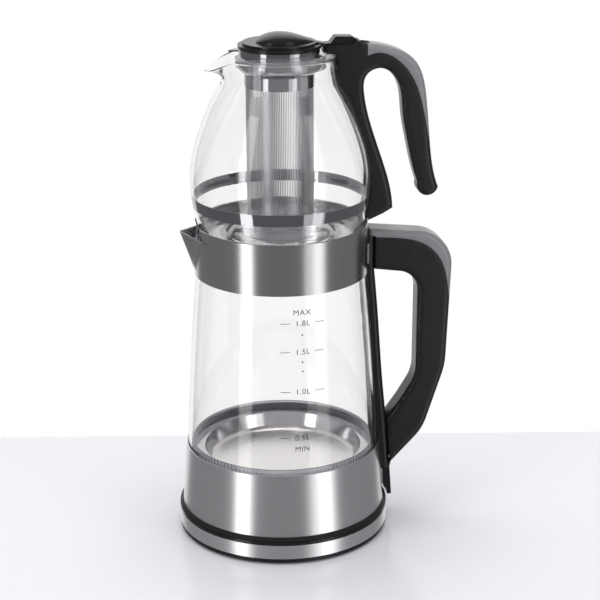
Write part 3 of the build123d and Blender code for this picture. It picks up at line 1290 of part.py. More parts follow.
with BuildPart() as lid_shell:
    with BuildSketch(Plane.XZ):
        with BuildLine():
            TangentArc((0, Z_DOME), (DOME_R, Z_LID_STEP), tangent=(1, 0))
            Polyline(
                (DOME_R, Z_LID_STEP),
                (LID_STEP_R, Z_LID_STEP),
                (LID_STEP_R, Z_LID_RIM),
                (LID_R, Z_LID_RIM),
                (LID_R, Z_LID),
                (PLUG_TOP_R, Z_LID),
                (PLUG_TOP_R, Z_LID_STEP - LID_WALL),
                (DOME_R, Z_LID_STEP - LID_WALL),
            )
            TangentArc((0, Z_DOME - LID_WALL), (DOME_R, Z_LID_STEP - LID_WALL), tangent=(1, 0))
            Line((0, Z_DOME - LID_WALL), (0, Z_DOME))
        make_face()
    revolve(axis=Axis.Z)
    add(arm_block.part)
    with BuildSketch(Plane.XZ):
        with Locations((HINGE_X, Z_HINGE)):
            Circle(LID_HUB_R)
    extrude(amount=ARM_W / 2, both=True)
    with BuildSketch(Plane.XZ):
        with Locations((HINGE_X, Z_HINGE)):
            Circle(HINGE_PIN_R + PLUG_GAP)
    extrude(amount=ARM_W / 2, both=True, mode=Mode.SUBTRACT)

with BuildPart() as lid_plug:
    with BuildSketch(Plane.XZ):
        Polygon(
            (0, Z_PLUG_LOW),
            (PLUG_SIDE_R, Z_PLUG_LOW),
            (PLUG_SIDE_R, Z_LID - PLUG_GAP),
            (PLUG_TOP_R - PLUG_GAP, Z_LID - PLUG_GAP),
            (PLUG_TOP_R - PLUG_GAP, Z_LID_RIM),
            (PLUG_TOP_R - PLUG_WALL, Z_LID_RIM),
            (PLUG_TOP_R - PLUG_WALL, Z_PLUG_LOW + PLUG_WALL),
            (0, Z_PLUG_LOW + PLUG_WALL),
            align=None,
        )
    revolve(axis=Axis.Z)
    with BuildSketch(Plane.XY.offset(Z_LID_SEAL - PLUG_GAP)):
        ring_outline(PLUG_SIDE_R, PLUG_SIDE_R - PLUG_WALL / 2)
    extrude(amount=LID_SEAL_T + 2 * PLUG_GAP, mode=Mode.SUBTRACT)

with BuildPart() as lid_seal:
    with BuildSketch(Plane.XY.offset(Z_LID_SEAL)):
        ring_outline(LID_SEAL_R, PLUG_SIDE_R - PLUG_WALL / 2 + PLUG_GAP)
    extrude(amount=LID_SEAL_T)

# ================= pieces, one file each =================
PIECES = {
    "base_foot_ring": base_foot_ring,
    "base_bottom": base_bottom,
    "base_housing": base_housing,
    "base_trim": base_trim,
    "base_plug": base_plug,
    "base_contacts": base_contacts,
    "base_screws": base_screws,
    "cord_gland": cord_gland,
    "kettle_base_cover": kettle_base_cover,
    "kettle_base_screws": kettle_base_screws,
    "kettle_shell": kettle_shell,
    "kettle_chassis": kettle_chassis,
    "kettle_socket": kettle_socket,
    "kettle_contacts": kettle_contacts,
    "kettle_control": kettle_control,
    "heat_spreader": heat_spreader,
    "heating_element": heating_element,
    "kettle_floor": kettle_floor,
    "glass_gasket": glass_gasket,
    "kettle_glass": kettle_glass,
    "kettle_collar": kettle_collar,
    "collar_seal": collar_seal,
    "pot_seat": pot_seat,
    "kettle_spout": kettle_spout,
    "collar_bracket": collar_bracket,
    "handle_spine": handle_spine,
    "kettle_grip": kettle_grip,
    "kettle_grip_trim": kettle_grip_trim,
    "handle_screws": handle_screws,
    "lever_pin": lever_pin,
    "power_lever": power_lever,
    "teapot_glass": teapot_glass,
    "teapot_band": teapot_band,
    "band_screw": band_screw,
    "teapot_handle": teapot_handle,
    "teapot_handle_trim": teapot_handle_trim,
    "rim_clip": rim_clip,
    "clip_screw": clip_screw,
    "infuser_seat": infuser_seat,
    "infuser_collar": infuser_collar,
    "infuser_basket": infuser_basket,
    "infuser_floor": infuser_floor,
    "hinge_pin": hinge_pin,
    "lid_shell": lid_shell,
    "lid_plug": lid_plug,
    "lid_seal": lid_seal,
}

os.makedirs("parts", exist_ok=True)
for name, piece in PIECES.items():
    piece.part.label = name
    export_step(piece.part, f"parts/{name}.step")
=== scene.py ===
"""Two-tier automatic tea maker: finishes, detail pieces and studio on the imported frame.

Metres, +Z up. The spout and the pouring lip point along -X, the handles along +X.
"""

import json
from math import copysign, cos, hypot, pi, radians, sin

import bmesh
import bpy
from bpy.props import FloatProperty, FloatVectorProperty, IntProperty, PointerProperty
from bpy.types import Operator, Panel, PropertyGroup
from mathutils import Matrix, Vector


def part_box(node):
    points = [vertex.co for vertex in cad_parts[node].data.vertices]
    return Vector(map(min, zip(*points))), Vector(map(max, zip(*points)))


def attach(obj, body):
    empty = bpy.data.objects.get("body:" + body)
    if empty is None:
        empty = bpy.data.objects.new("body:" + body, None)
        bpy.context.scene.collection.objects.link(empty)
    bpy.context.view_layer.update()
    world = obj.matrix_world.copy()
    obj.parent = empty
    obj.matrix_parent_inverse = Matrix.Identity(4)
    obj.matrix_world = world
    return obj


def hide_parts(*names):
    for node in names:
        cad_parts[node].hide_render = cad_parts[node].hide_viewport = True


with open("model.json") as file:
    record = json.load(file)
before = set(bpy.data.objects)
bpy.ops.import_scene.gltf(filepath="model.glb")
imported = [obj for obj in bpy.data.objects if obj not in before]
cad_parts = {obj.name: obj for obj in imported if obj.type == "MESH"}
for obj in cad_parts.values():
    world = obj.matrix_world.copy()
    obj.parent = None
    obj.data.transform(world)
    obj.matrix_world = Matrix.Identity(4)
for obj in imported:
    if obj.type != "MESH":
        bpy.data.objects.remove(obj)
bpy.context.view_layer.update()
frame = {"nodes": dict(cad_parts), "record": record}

bl_info = {
    "name": "Automatic Tea Maker",
    "version": (1, 0, 0),
    "blender": (4, 5, 0),
    "location": "3D View > Sidebar > Tea Maker",
    "description": "Finishes, detail pieces and studio for a two-tier electric tea maker",
    "category": "Add Mesh",
}

MM = 0.001
PAN = "kettle_floor"


# ---- what a user would change ----
class FinishSettings(PropertyGroup):
    """Colours and surface qualities of the object's materials."""

    steel: FloatVectorProperty(
        name="Steel",
        description="Colour of the brushed steel",
        subtype="COLOR",
        size=3,
        default=(0.47, 0.46, 0.47),
        min=0.0,
        max=1.0,
    )
    steel_roughness: FloatProperty(
        name="Steel roughness",
        description="Roughness of the brushed steel",
        default=0.27,
        min=0.0,
        max=1.0,
    )
    brushing: FloatProperty(
        name="Brushing",
        description="How much finer the steel reflects along its brushing than across it",
        default=0.75,
        min=0.0,
        max=1.0,
    )
    black: FloatVectorProperty(
        name="Black",
        description="Colour of the black plastic",
        subtype="COLOR",
        size=3,
        default=(0.013, 0.0125, 0.014),
        min=0.0,
        max=1.0,
    )
    trim: FloatVectorProperty(
        name="Trim",
        description="Colour of the grey caps on the handles",
        subtype="COLOR",
        size=3,
        default=(0.21, 0.207, 0.218),
        min=0.0,
        max=1.0,
    )
    ink: FloatVectorProperty(
        name="Ink",
        description="Colour of the printed level scale",
        subtype="COLOR",
        size=3,
        default=(0.035, 0.033, 0.038),
        min=0.0,
        max=1.0,
    )


class ScaleSettings(PropertyGroup):
    """Layout of the level scale on the kettle glass."""

    turn: FloatProperty(
        name="Turn",
        description="Angle of the foot of the scale from the front, towards the handle",
        subtype="ANGLE",
        default=radians(3.6),
    )
    lean: FloatProperty(
        name="Lean",
        description="How much further round the top of the scale stands",
        subtype="ANGLE",
        default=radians(1.9),
    )
    letter_height: FloatProperty(
        name="Letter height",
        description="Height of the capitals",
        unit="LENGTH",
        default=4.1 * MM,
        min=0.0,
    )
    dash_length: FloatProperty(
        name="Dash length",
        description="Length of the lines beside each figure",
        unit="LENGTH",
        default=7.1 * MM,
        min=0.0,
    )
    dash_gap: FloatProperty(
        name="Dash gap",
        description="Distance from the middle of the scale to the near end of a line",
        unit="LENGTH",
        default=9.4 * MM,
        min=0.0,
    )


class GlassSettings(PropertyGroup):
    """Pouring lip of the teapot."""

    lip_reach: FloatProperty(
        name="Lip reach",
        description="How far the lip stands out from the neck",
        unit="LENGTH",
        default=14.2 * MM,
        min=0.0,
    )
    lip_dip: FloatProperty(
        name="Lip dip",
        description="How far the rim dips at the tip of the lip",
        unit="LENGTH",
        default=8.8 * MM,
        min=0.0,
    )
    lip_width: FloatProperty(
        name="Lip width",
        description="Angle over which the rim is drawn out, to each side",
        subtype="ANGLE",
        default=radians(34.0),
    )


class InfuserSettings(PropertyGroup):
    """Fine slots of the infuser."""

    slots: IntProperty(
        name="Slots",
        description="Number of upright slots round the basket",
        default=120,
        min=12,
    )
    slot_share: FloatProperty(
        name="Slot share",
        description="Share of the wall that the slots take",
        default=0.55,
        min=0.1,
        max=0.9,
    )
    bands: IntProperty(
        name="Bands",
        description="Number of rows of slots, one above the other",
        default=1,
        min=1,
    )


class StudioSettings(PropertyGroup):
    """Camera, floor and lamps."""

    azimuth: FloatProperty(
        name="Camera azimuth",
        description="Where the camera stands round the axis, from the front towards the spout",
        subtype="ANGLE",
        default=radians(8.0),
    )
    distance: FloatProperty(
        name="Camera distance",
        description="Level distance from the axis to the camera",
        unit="LENGTH",
        default=1.26,
        min=0.0,
    )
    height: FloatProperty(
        name="Camera height",
        description="Height of the camera above the floor",
        unit="LENGTH",
        default=0.61,
        min=0.0,
    )
    pitch: FloatProperty(
        name="Camera pitch",
        description="How far the camera looks down",
        subtype="ANGLE",
        default=radians(18.74),
    )
    lamp_power: FloatProperty(
        name="Lamp power",
        description="Power of the larger softbox",
        unit="POWER",
        default=9.0,
        min=0.0,
    )
    floor: FloatVectorProperty(
        name="Floor",
        description="Colour of the table top",
        subtype="COLOR",
        size=3,
        default=(0.79, 0.77, 0.81),
        min=0.0,
        max=1.0,
    )


# ---- shader maths ----
class Wire:
    """One output socket. Arithmetic on it adds Math nodes."""

    def __init__(self, graph, socket):
        self.graph = graph
        self.socket = socket

    def math(self, operation, *values):
        """One Math node over the given wires and numbers."""
        return self.graph.node("ShaderNodeMath", {"operation": operation}, dict(enumerate(values)))

    def __add__(self, other):
        return self.math("ADD", self, other)

    __radd__ = __add__

    def __sub__(self, other):
        return self.math("SUBTRACT", self, other)

    def __rsub__(self, other):
        return self.math("SUBTRACT", other, self)

    def __mul__(self, other):
        return self.math("MULTIPLY", self, other)

    __rmul__ = __mul__


class Graph:
    """A node tree that is being built. Every node comes from node()."""

    MIX_COLOUR = {"factor": 0, "a": 6, "b": 7, "result": 2}

    def __init__(self, tree):
        self.tree = tree
        tree.nodes.clear()

    def node(self, kind, settings=None, values=None, output=0):
        """Adds a node: its settings first, then its socket values or links. Returns one output."""
        made = self.tree.nodes.new(kind)
        for name, value in (settings or {}).items():
            setattr(made, name, value)
        for name, value in (values or {}).items():
            socket = made.inputs[name]
            if isinstance(value, Wire):
                self.tree.links.new(value.socket, socket)
            else:
                socket.default_value = value
        return Wire(self, made.outputs[output]) if made.outputs else None

    def mix(self, factor, first, second):
        """Colour between first and second."""
        at = self.MIX_COLOUR
        return self.node(
            "ShaderNodeMix",
            {"data_type": "RGBA"},
            {at["factor"]: factor, at["a"]: first, at["b"]: second},
            at["result"],
        )

    def place(self):
        """Position on the object, in metres."""
        return self.node("ShaderNodeTexCoord", output="Object")

    def stretched(self, scale):
        """Position, scaled separately along X, Y and Z."""
        return self.node(
            "ShaderNodeVectorMath", {"operation": "MULTIPLY"}, {0: self.place(), 1: scale}
        )

    def axis(self, letter):
        """One coordinate of the position."""
        return self.node("ShaderNodeSeparateXYZ", values={0: self.place()}, output=letter)

    def radius(self):
        """Distance from the Z axis."""
        level = self.node(
            "ShaderNodeVectorMath", {"operation": "MULTIPLY"}, {0: self.place(), 1: (1.0, 1.0, 0.0)}
        )
        return self.node("ShaderNodeVectorMath", {"operation": "LENGTH"}, {0: level}, "Value")

    def noise(self, vector, scale=1.0, detail=2.0, roughness=0.5):
        """Noise between 0 and 1."""
        return self.node(
            "ShaderNodeTexNoise",
            values={"Vector": vector, "Scale": scale, "Detail": detail, "Roughness": roughness},
        )

    def step(self, value, low, high):
        """0 below low, 1 above high, smooth between."""
        return self.node(
            "ShaderNodeMapRange",
            {"interpolation_type": "SMOOTHSTEP"},
            {"Value": value, "From Min": low, "From Max": high},
        )

    def bump(self, height, distance, strength=1.0, edge=0.0):
        """Normal of a relief whose height runs from 0 to 1 over distance, over softened edges."""
        values = {"Height": height, "Distance": distance, "Strength": strength}
        if edge:
            values["Normal"] = self.node("ShaderNodeBevel", {"samples": 6}, {"Radius": edge})
        return self.node("ShaderNodeBump", values=values)


class Finish(Graph):
    """A material around one Principled shader."""

    def __init__(self, name, **uniform):
        self.material = bpy.data.materials.new(name)
        self.material.use_nodes = True
        super().__init__(self.material.node_tree)
        surface = self.node("ShaderNodeBsdfPrincipled")
        self.principled = surface.socket.node
        self.node("ShaderNodeOutputMaterial", values={"Surface": surface})
        self.set(**uniform)

    def set(self, **sockets):
        """Sets or links sockets of the shader; base_color stands for Base Color."""
        for name, value in sockets.items():
            socket = self.principled.inputs[name.replace("_", " ").title().replace("Ior", "IOR")]
            if isinstance(value, Wire):
                self.tree.links.new(value.socket, socket)
            elif hasattr(value, "__len__") and len(value) == 3:
                socket.default_value = (*value, 1.0)
            else:
                socket.default_value = value


def opaque(colour, gain=1.0):
    """RGBA of a colour setting, brighter or darker by gain."""
    return (*(min(1.0, part * gain) for part in colour), 1.0)


# ---- materials ----
BRIGHT_STEEL = (0.60, 0.59, 0.60)
# Darker copy of the polished steel: painted reflection of the dark surroundings that the teapot band and
# the infuser collar mirror.
SHADED_STEEL = (0.33, 0.325, 0.34)
GLASS_TINT = (0.998, 0.998, 0.999)
PAN_FLOOR_DEPTH = 11.2 * MM
PAN_WALL_DEPTH = 9.6 * MM


def brushed_steel(name, gain=1.0, roughness=None):
    """Stainless steel with long fine scratches round the axis."""
    looks = bpy.context.scene.tea_finishes
    metal = Finish(name, metallic=1.0, anisotropic=looks.brushing, anisotropic_rotation=0.25)
    scratch = metal.noise(metal.stretched((14.0, 14.0, 5000.0)), detail=2.0, roughness=0.6)
    cloud = metal.noise(metal.place(), 14.0, 2.0)
    level = looks.steel_roughness if roughness is None else roughness
    metal.set(
        # Gain scales the steel's colour; well above 1 it is painted reflection, as on the shell and the
        # base trim.
        base_color=metal.mix(scratch, opaque(looks.steel, 0.97 * gain), opaque(looks.steel, 1.03 * gain)),
        roughness=level - 0.02 + 0.03 * scratch + 0.01 * cloud,
        normal=metal.bump(scratch, 0.006 * MM, 0.06),
    )
    return metal.material


def polished_steel(name, colour=BRIGHT_STEEL, roughness=0.07):
    """Mirror-bright steel with a few faint wiping marks."""
    metal = Finish(name, metallic=1.0)
    wipe = metal.noise(metal.stretched((60.0, 60.0, 240.0)), detail=4.0, roughness=0.6)
    metal.set(
        base_color=metal.mix(wipe, opaque(colour, 0.96), opaque(colour, 1.03)),
        roughness=roughness * 0.6 + roughness * 0.8 * wipe,
        normal=metal.bump(wipe, 0.01 * MM, 0.3),
    )
    return metal.material


def pan_steel(name):
    """Floor pan: satin floor with fine turning marks, painted pale for the light from above that it
    reflects; smooth bright wall and rim.
    """
    metal = Finish(name)
    ring = metal.noise(metal.radius() * 2600.0, detail=2.0)
    haze = metal.noise(metal.place(), 40.0, 3.0)
    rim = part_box(PAN)[1][2]
    wall = metal.step(metal.axis("Z"), rim - PAN_FLOOR_DEPTH, rim - PAN_WALL_DEPTH)
    # Painted light: the floor is the same steel as the wall, made far paler to stand for the lamp light
    # from above. Its haze mottle is its own.
    floor = metal.mix(haze, (0.93, 0.90, 0.88, 1.0), (0.98, 0.96, 0.94, 1.0))
    metal.set(
        base_color=metal.mix(wall, floor, opaque(BRIGHT_STEEL)),
        metallic=0.80 + 0.20 * wall,
        roughness=0.22 - 0.13 * wall + 0.05 * ring + 0.04 * haze,
        normal=metal.bump(ring, 0.01 * MM, 0.2),
    )
    return metal.material


def moulded_plastic(name, colour, roughness=0.3, grain=0.35, shine=0.5, edge=0.5 * MM):
    """Moulded plastic with a very fine grain, mould flow and light handling wear."""
    plastic = Finish(name, ior=1.49, specular_ior_level=shine)
    fine = plastic.noise(plastic.place(), 2400.0, 2.0)
    flow = plastic.noise(plastic.place(), 55.0, 4.0)
    plastic.set(
        base_color=plastic.mix(flow, opaque(colour, 0.86), opaque(colour, 1.16)),
        roughness=roughness - 0.05 + 0.06 * flow + 0.05 * fine,
        normal=plastic.bump(fine, 0.03 * MM, grain, edge=edge),
    )
    return plastic.material


def satin_steel(name):
    """Thin satin sheet with the fine upright lines of its rolling."""
    metal = Finish(name, metallic=1.0)
    line = metal.noise(metal.stretched((1400.0, 1400.0, 9.0)), detail=2.0, roughness=0.6)
    metal.set(
        base_color=metal.mix(line, (0.42, 0.41, 0.43, 1.0), (0.62, 0.61, 0.63, 1.0)),
        roughness=0.30 + 0.12 * line,
        normal=metal.bump(line, 0.01 * MM, 0.2),
    )
    return metal.material


def clear_glass(name, ripple=0.10):
    """Clear heat-proof glass with the faint ripple of its moulding."""
    glass = Finish(name, transmission_weight=1.0, ior=1.43, roughness=0.0)
    wave = glass.noise(glass.stretched((16.0, 16.0, 9.0)), detail=1.0)
    glass.set(base_color=GLASS_TINT, normal=glass.bump(wave, 0.25 * MM, ripple))
    return glass.material


def clear_polymer(name, tint, roughness, weight=0.9):
    """See-through silicone or plastic with a hazy, slightly uneven surface."""
    soft = Finish(name, transmission_weight=weight, ior=1.43)
    haze = soft.noise(soft.place(), 160.0, 3.0)
    soft.set(
        base_color=soft.mix(haze, opaque(tint, 0.95), opaque(tint, 1.0)),
        roughness=roughness + 0.08 * haze,
        normal=soft.bump(haze, 0.05 * MM, 0.2),
    )
    return soft.material


def rubber(name):
    """Matt black rubber with a dusty grain."""
    soft = Finish(name, ior=1.5)
    grain = soft.noise(soft.place(), 900.0, 3.0)
    dust = soft.noise(soft.place(), 70.0, 3.0)
    soft.set(
        base_color=soft.mix(dust, (0.014, 0.014, 0.015, 1.0), (0.028, 0.027, 0.028, 1.0)),
        roughness=0.66 + 0.18 * grain,
        normal=soft.bump(grain, 0.06 * MM, 0.5),
    )
    return soft.material


def cast_metal(name, colour, roughness):
    """Plated, drawn or cast metal of the hidden parts."""
    metal = Finish(name, metallic=1.0)
    speck = metal.noise(metal.place(), 700.0, 3.0)
    stain = metal.noise(metal.place(), 120.0, 2.0)
    metal.set(
        base_color=metal.mix(stain, opaque(colour, 0.82), opaque(colour, 1.08)),
        roughness=roughness - 0.06 + 0.12 * speck,
        normal=metal.bump(speck, 0.03 * MM, 0.3),
    )
    return metal.material


def printing_ink(name):
    """Baked-on screen print."""
    looks = bpy.context.scene.tea_finishes
    ink = Finish(name, ior=1.5)
    speck = ink.noise(ink.place(), 1500.0, 2.0)
    ink.set(
        base_color=ink.mix(speck, opaque(looks.ink, 0.8), opaque(looks.ink, 1.3)),
        roughness=0.42 + 0.12 * speck,
    )
    return ink.material


def make_finishes():
    """All materials by the name of their slot."""
    looks = bpy.context.scene.tea_finishes
    return {
        "brushed_steel": brushed_steel("brushed_steel", 1.08),
        # The shell and the base trim are the same brushed steel as the collar. Their larger gains are
        # painted reflection of the bright table top, which glossy rays don't see.
        "foot_steel": brushed_steel("foot_steel", 1.76, 0.35),
        "trim_steel": brushed_steel("trim_steel", 2.0, 0.40),
        "satin_steel": satin_steel("satin_steel"),
        "polished_steel": polished_steel("polished_steel"),
        # Teapot band and infuser collar in the darkened steel, a painted reflection of dark surroundings.
        "strap_steel": polished_steel("strap_steel", SHADED_STEEL, 0.06),
        "pan_steel": pan_steel("pan_steel"),
        "black_gloss": moulded_plastic("black_gloss", looks.black, 0.20, 0.10, 0.28),
        "black_matte": moulded_plastic("black_matte", looks.black, 0.42, 0.5, 0.3),
        "handle_black": moulded_plastic("handle_black", looks.black, 0.27, 0.2, 0.35, 3.2 * MM),
        "grey_trim": moulded_plastic("grey_trim", looks.trim, 0.26, 0.2, 0.6, 2.0 * MM),
        "kettle_glass": clear_glass("kettle_glass"),
        "teapot_glass": clear_glass("teapot_glass", ripple=0.16),
        "black_rubber": rubber("black_rubber"),
        "clear_silicone": clear_polymer("clear_silicone", (0.66, 0.66, 0.71), 0.18, 0.85),
        "clear_plastic": clear_polymer("clear_plastic", (0.97, 0.975, 0.98), 0.06),
        "inner_plastic": moulded_plastic("inner_plastic", (0.62, 0.60, 0.55), 0.5, 0.4),
        "plated_screws": cast_metal("plated_screws", (0.66, 0.65, 0.62), 0.32),
        "brass_contacts": cast_metal("brass_contacts", (0.80, 0.60, 0.28), 0.28),
        "aluminium": cast_metal("aluminium", (0.72, 0.72, 0.73), 0.46),
        "ink": printing_ink("ink"),
    }


def slot_of(node):
    """The record's material slot of a CAD node."""
    return next(part["material_slot"] for part in frame["record"]["subparts"] if part["node"] == node)


def dress(*nodes, finish=None):
    """Gives CAD nodes the finish of their slot, or another one."""
    for node in nodes:
        frame["nodes"][node].data.materials.clear()
        frame["nodes"][node].data.materials.append(FINISHES[finish or slot_of(node)])


FINISHES = {}


# ---- mesh helpers ----
def add_piece(name, mesh, finish, body):
    """Links a mesh as a piece that rides on a body."""
    piece = bpy.data.objects.new(name, mesh)
    bpy.context.scene.collection.objects.link(piece)
    mesh.materials.append(FINISHES[finish])
    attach(piece, body)
    return piece


def eased(a, b, c, d, t):
    """Value at the share t of the way from b to c, on a smooth curve through a, b, c and d."""
    slope, bend, twist = c - a, 2 * a - 5 * b + 4 * c - d, 3 * b - a - 3 * c + d
    return 0.5 * (2 * b + slope * t + bend * t**2 + twist * t**3)


def between(points, parts):
    """Points on a smooth line through the given ones."""
    ends = [points[0], *points, points[-1]]
    line = []
    for around in zip(ends, ends[1:], ends[2:], ends[3:]):
        for part in range(parts):
            line.append(tuple(eased(*values, part / parts) for values in zip(*around)))
    return [*line, tuple(points[-1])]


def moved_in(points, depth):
    """Points moved to the left of the way that the line runs."""
    inner = []
    for before, point, after in zip([points[0], *points], points, [*points[1:], points[-1]]):
        along = Vector((after[0] - before[0], after[1] - before[1])).normalized()
        inner.append((point[0] - along.y * depth, point[1] + along.x * depth))
    return inner


def finished_mesh(name, bm, sharp):
    """Mesh with outward normals, smooth except at edges over the sharp angle, in degrees."""
    bmesh.ops.recalc_face_normals(bm, faces=bm.faces)
    mesh = bpy.data.meshes.new(name)
    bm.to_mesh(mesh)
    bm.free()
    mesh.shade_smooth()
    mesh.set_sharp_from_angle(angle=radians(sharp))
    return mesh


def skinned(bm, rows):
    """Faces between closed rows of vertices. A row of one vertex makes a fan."""
    for first, second in zip(rows, rows[1:]):
        count = max(len(first), len(second))
        for i in range(count):
            j = (i + 1) % count
            corners = [first[i % len(first)], first[j % len(first)]]
            corners += [second[j % len(second)], second[i % len(second)]]
            ring = [corner for k, corner in enumerate(corners) if corner not in corners[:k]]
            if len(ring) > 2:
                bm.faces.new(ring)


def turned_rows(bm, profile, segments, shape):
    """Rows of vertices from (radius, height) points in mm, turned round the Z axis and shaped."""
    rows = []
    for radius, height in profile:
        turns = [0.0] if radius < 1e-6 else [2 * pi * i / segments for i in range(segments)]
        row = []
        for turn in turns:
            r, z = shape(radius, height, turn)
            row.append(bm.verts.new((r * cos(turn) * MM, r * sin(turn) * MM, z * MM)))
        rows.append(row)
    return rows


# ---- operators ----
class TEAMAKER_OT_finishes(Operator):
    """Make the materials"""

    bl_idname = "teamaker.finishes"
    bl_label = "Finishes"

    def execute(self, context):
        FINISHES.update(make_finishes())
        return {"FINISHED"}


class TEAMAKER_OT_frame(Operator):
    """Give every CAD node its finish"""

    bl_idname = "teamaker.frame"
    bl_label = "Frame finishes"

    def execute(self, context):
        dress(*frame["nodes"])
        dress("kettle_shell", finish="foot_steel")
        dress("base_trim", finish="trim_steel")
        dress("kettle_grip", "teapot_handle", finish="handle_black")
        dress("infuser_floor", finish="satin_steel")
        dress("teapot_band", "infuser_collar", finish="strap_steel")
        return {"FINISHED"}


# Outlines are (radius, height) points in mm.
POT_OUTSIDE = [
    (62.0, 244.8),
    (64.0, 251.5),
    (65.4, 260.5),
    (66.7, 268.0),
    (67.2, 276.0),
    (66.8, 287.0),
    (64.2, 301.5),
    (60.6, 313.0),
    (56.6, 324.0),
    (52.4, 334.6),
    (48.9, 341.0),
    (45.8, 346.0),
    (43.7, 350.0),
    (42.3, 354.5),
    (41.6, 360.0),
    (41.4, 369.2),
]
POT_HEEL = [(42.0, 236.55), (49.0, 236.5), (54.8, 237.2), (59.2, 240.2), (61.2, 243.0)]
POT_PUNT = [(0.0, 240.1), (20.0, 240.1), (33.0, 239.9), (37.0, 239.1), (40.0, 237.2)]
POT_RIM_ROUND = [(-0.3, 0.55), (-1.0, 0.8), (-1.7, 0.55)]
POT_WALL = 1.5
POT_STEPS = 5
POT_SEGMENTS = 160
LIP_FOOT = 351.0
LIP_TOP = 370.0
LIP_RISE = 1.3
LIP_FLARE = 3


class TEAMAKER_OT_teapot_glass(Operator):
    """Blow the teapot with its drawn pouring lip"""

    bl_idname = "teamaker.teapot_glass"
    bl_label = "Teapot glass"

    def execute(self, context):
        lip = context.scene.tea_glass

        def shape(radius, height, turn):
            aside = abs(turn - pi)
            share = (height - LIP_FOOT) / (LIP_TOP - LIP_FOOT)
            if share <= 0.0 or aside >= lip.lip_width:
                return radius, height
            share = min(share, 1.0)
            pull = cos(pi / 2 * aside / lip.lip_width) ** 2
            risen = (1 - (1 - share) ** LIP_RISE) * (LIP_TOP - LIP_FOOT - lip.lip_dip / MM)
            height += pull * (LIP_FOOT + risen - height)
            return radius + pull * share**LIP_FLARE * lip.lip_reach / MM, height

        outside = between([*POT_PUNT, *POT_HEEL, *POT_OUTSIDE], POT_STEPS)
        inside = moved_in(outside, POT_WALL)
        floor = POT_PUNT[0][1] + POT_WALL
        inside = [(max(r, 0.0), max(z, POT_HEEL[1][1] + POT_WALL)) for r, z in inside]
        inside[0] = (0.0, floor)
        edge_r, edge_z = outside[-1]
        rim = [(edge_r + r, edge_z + z) for r, z in POT_RIM_ROUND]
        bm = bmesh.new()
        skinned(bm, turned_rows(bm, [*outside, *rim, *reversed(inside)], POT_SEGMENTS, shape))
        mesh = finished_mesh("teapot_blown_glass", bm, 60.0)
        piece = add_piece("teapot_blown_glass", mesh, "teapot_glass", "teapot")
        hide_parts("teapot_glass")
        return {"FINISHED"}


INFUSER_SHEET = 0.22 * MM
INFUSER_MARGIN = 4.5 * MM
INFUSER_BRIDGE = 2.2 * MM


class TEAMAKER_OT_infuser_basket(Operator):
    """Punch the infuser's basket with fine upright slots"""

    bl_idname = "teamaker.infuser_basket"
    bl_label = "Infuser basket"

    def execute(self, context):
        layout = context.scene.tea_infuser
        low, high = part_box("infuser_basket")
        radius = high[0]
        pitch = (high[2] - low[2] - 2 * INFUSER_MARGIN) / layout.bands
        heights = [low[2]]
        for band in range(layout.bands):
            foot = low[2] + INFUSER_MARGIN + band * pitch
            heights += [foot + INFUSER_BRIDGE / 2, foot + pitch - INFUSER_BRIDGE / 2]
        heights.append(high[2])
        step = 2 * pi / layout.slots
        turns = []
        for slot in range(layout.slots):
            turns += [slot * step, (slot + 1 - layout.slot_share) * step]
        bm = bmesh.new()
        walls = []
        for r in (radius, radius - INFUSER_SHEET):
            walls.append([[bm.verts.new((r * cos(t), r * sin(t), z)) for t in turns] for z in heights])
        outer, inner = walls
        count = len(turns)
        for row in range(len(heights) - 1):
            for col in range(count):
                after = (col + 1) % count
                if row % 2 and col % 2:
                    continue
                for wall, near, far in ((outer, col, after), (inner, after, col)):
                    foot, head = wall[row], wall[row + 1]
                    bm.faces.new((foot[near], foot[far], head[far], head[near]))
        for row in range(len(heights)):
            for col in range(count):
                after = (col + 1) % count
                outside = bm.edges.get((outer[row][col], outer[row][after]))
                if outside and outside.is_boundary:
                    bm.faces.new((outer[row][col], outer[row][after], inner[row][after], inner[row][col]))
        for row in range(1, len(heights) - 1, 2):
            for col in range(count):
                quad = (outer[row][col], outer[row + 1][col], inner[row + 1][col], inner[row][col])
                bm.faces.new(quad)
        mesh = finished_mesh("infuser_slotted_wall", bm, 30.0)
        piece = add_piece("infuser_slotted_wall", mesh, "satin_steel", "teapot")
        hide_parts("infuser_basket")
        return {"FINISHED"}


# Stations of the knob along X: place, half width and height of the top, in mm.
KNOB_LINE = [
    (-18.0, 0.6, 380.5),
    (-17.2, 4.6, 381.4),
    (-15.2, 9.4, 383.0),
    (-11.6, 13.6, 385.0),
    (-5.4, 16.8, 386.7),
    (1.3, 17.6, 387.2),
    (9.1, 15.6, 386.4),
    (16.9, 10.9, 384.2),
    (22.6, 7.8, 382.3),
    (28.2, 5.9, 380.2),
    (33.0, 5.1, 379.1),
]
KNOB_FOOT = 380.2
KNOB_TAIL_FOOT = 377.0
KNOB_TAIL_START = 26.0
KNOB_STEPS = 5
KNOB_SIDES = 24
KNOB_FULLNESS = 0.8
KNOB_DOME = 0.7


class TEAMAKER_OT_lid_knob(Operator):
    """Model the lid's knob, which flows into the arm of its hinge"""

    bl_idname = "teamaker.lid_knob"
    bl_label = "Lid knob"

    def execute(self, context):
        bm = bmesh.new()
        rows = []
        for x, half, top in between(KNOB_LINE, KNOB_STEPS):
            foot = KNOB_FOOT if x < KNOB_TAIL_START else KNOB_TAIL_FOOT
            row = []
            for i in range(KNOB_SIDES + 1):
                turn = pi * i / KNOB_SIDES
                y = half * copysign(abs(cos(turn)) ** KNOB_FULLNESS, cos(turn))
                z = foot + (top - foot) * sin(turn) ** KNOB_DOME
                row.append(bm.verts.new((x * MM, y * MM, z * MM)))
            rows.append(row)
        skinned(bm, rows)
        bm.faces.new(rows[0])
        bm.faces.new(reversed(rows[-1]))
        piece = add_piece("lid_knob", finished_mesh("lid_knob", bm, 50.0), slot_of("lid_shell"), "lid")
        return {"FINISHED"}


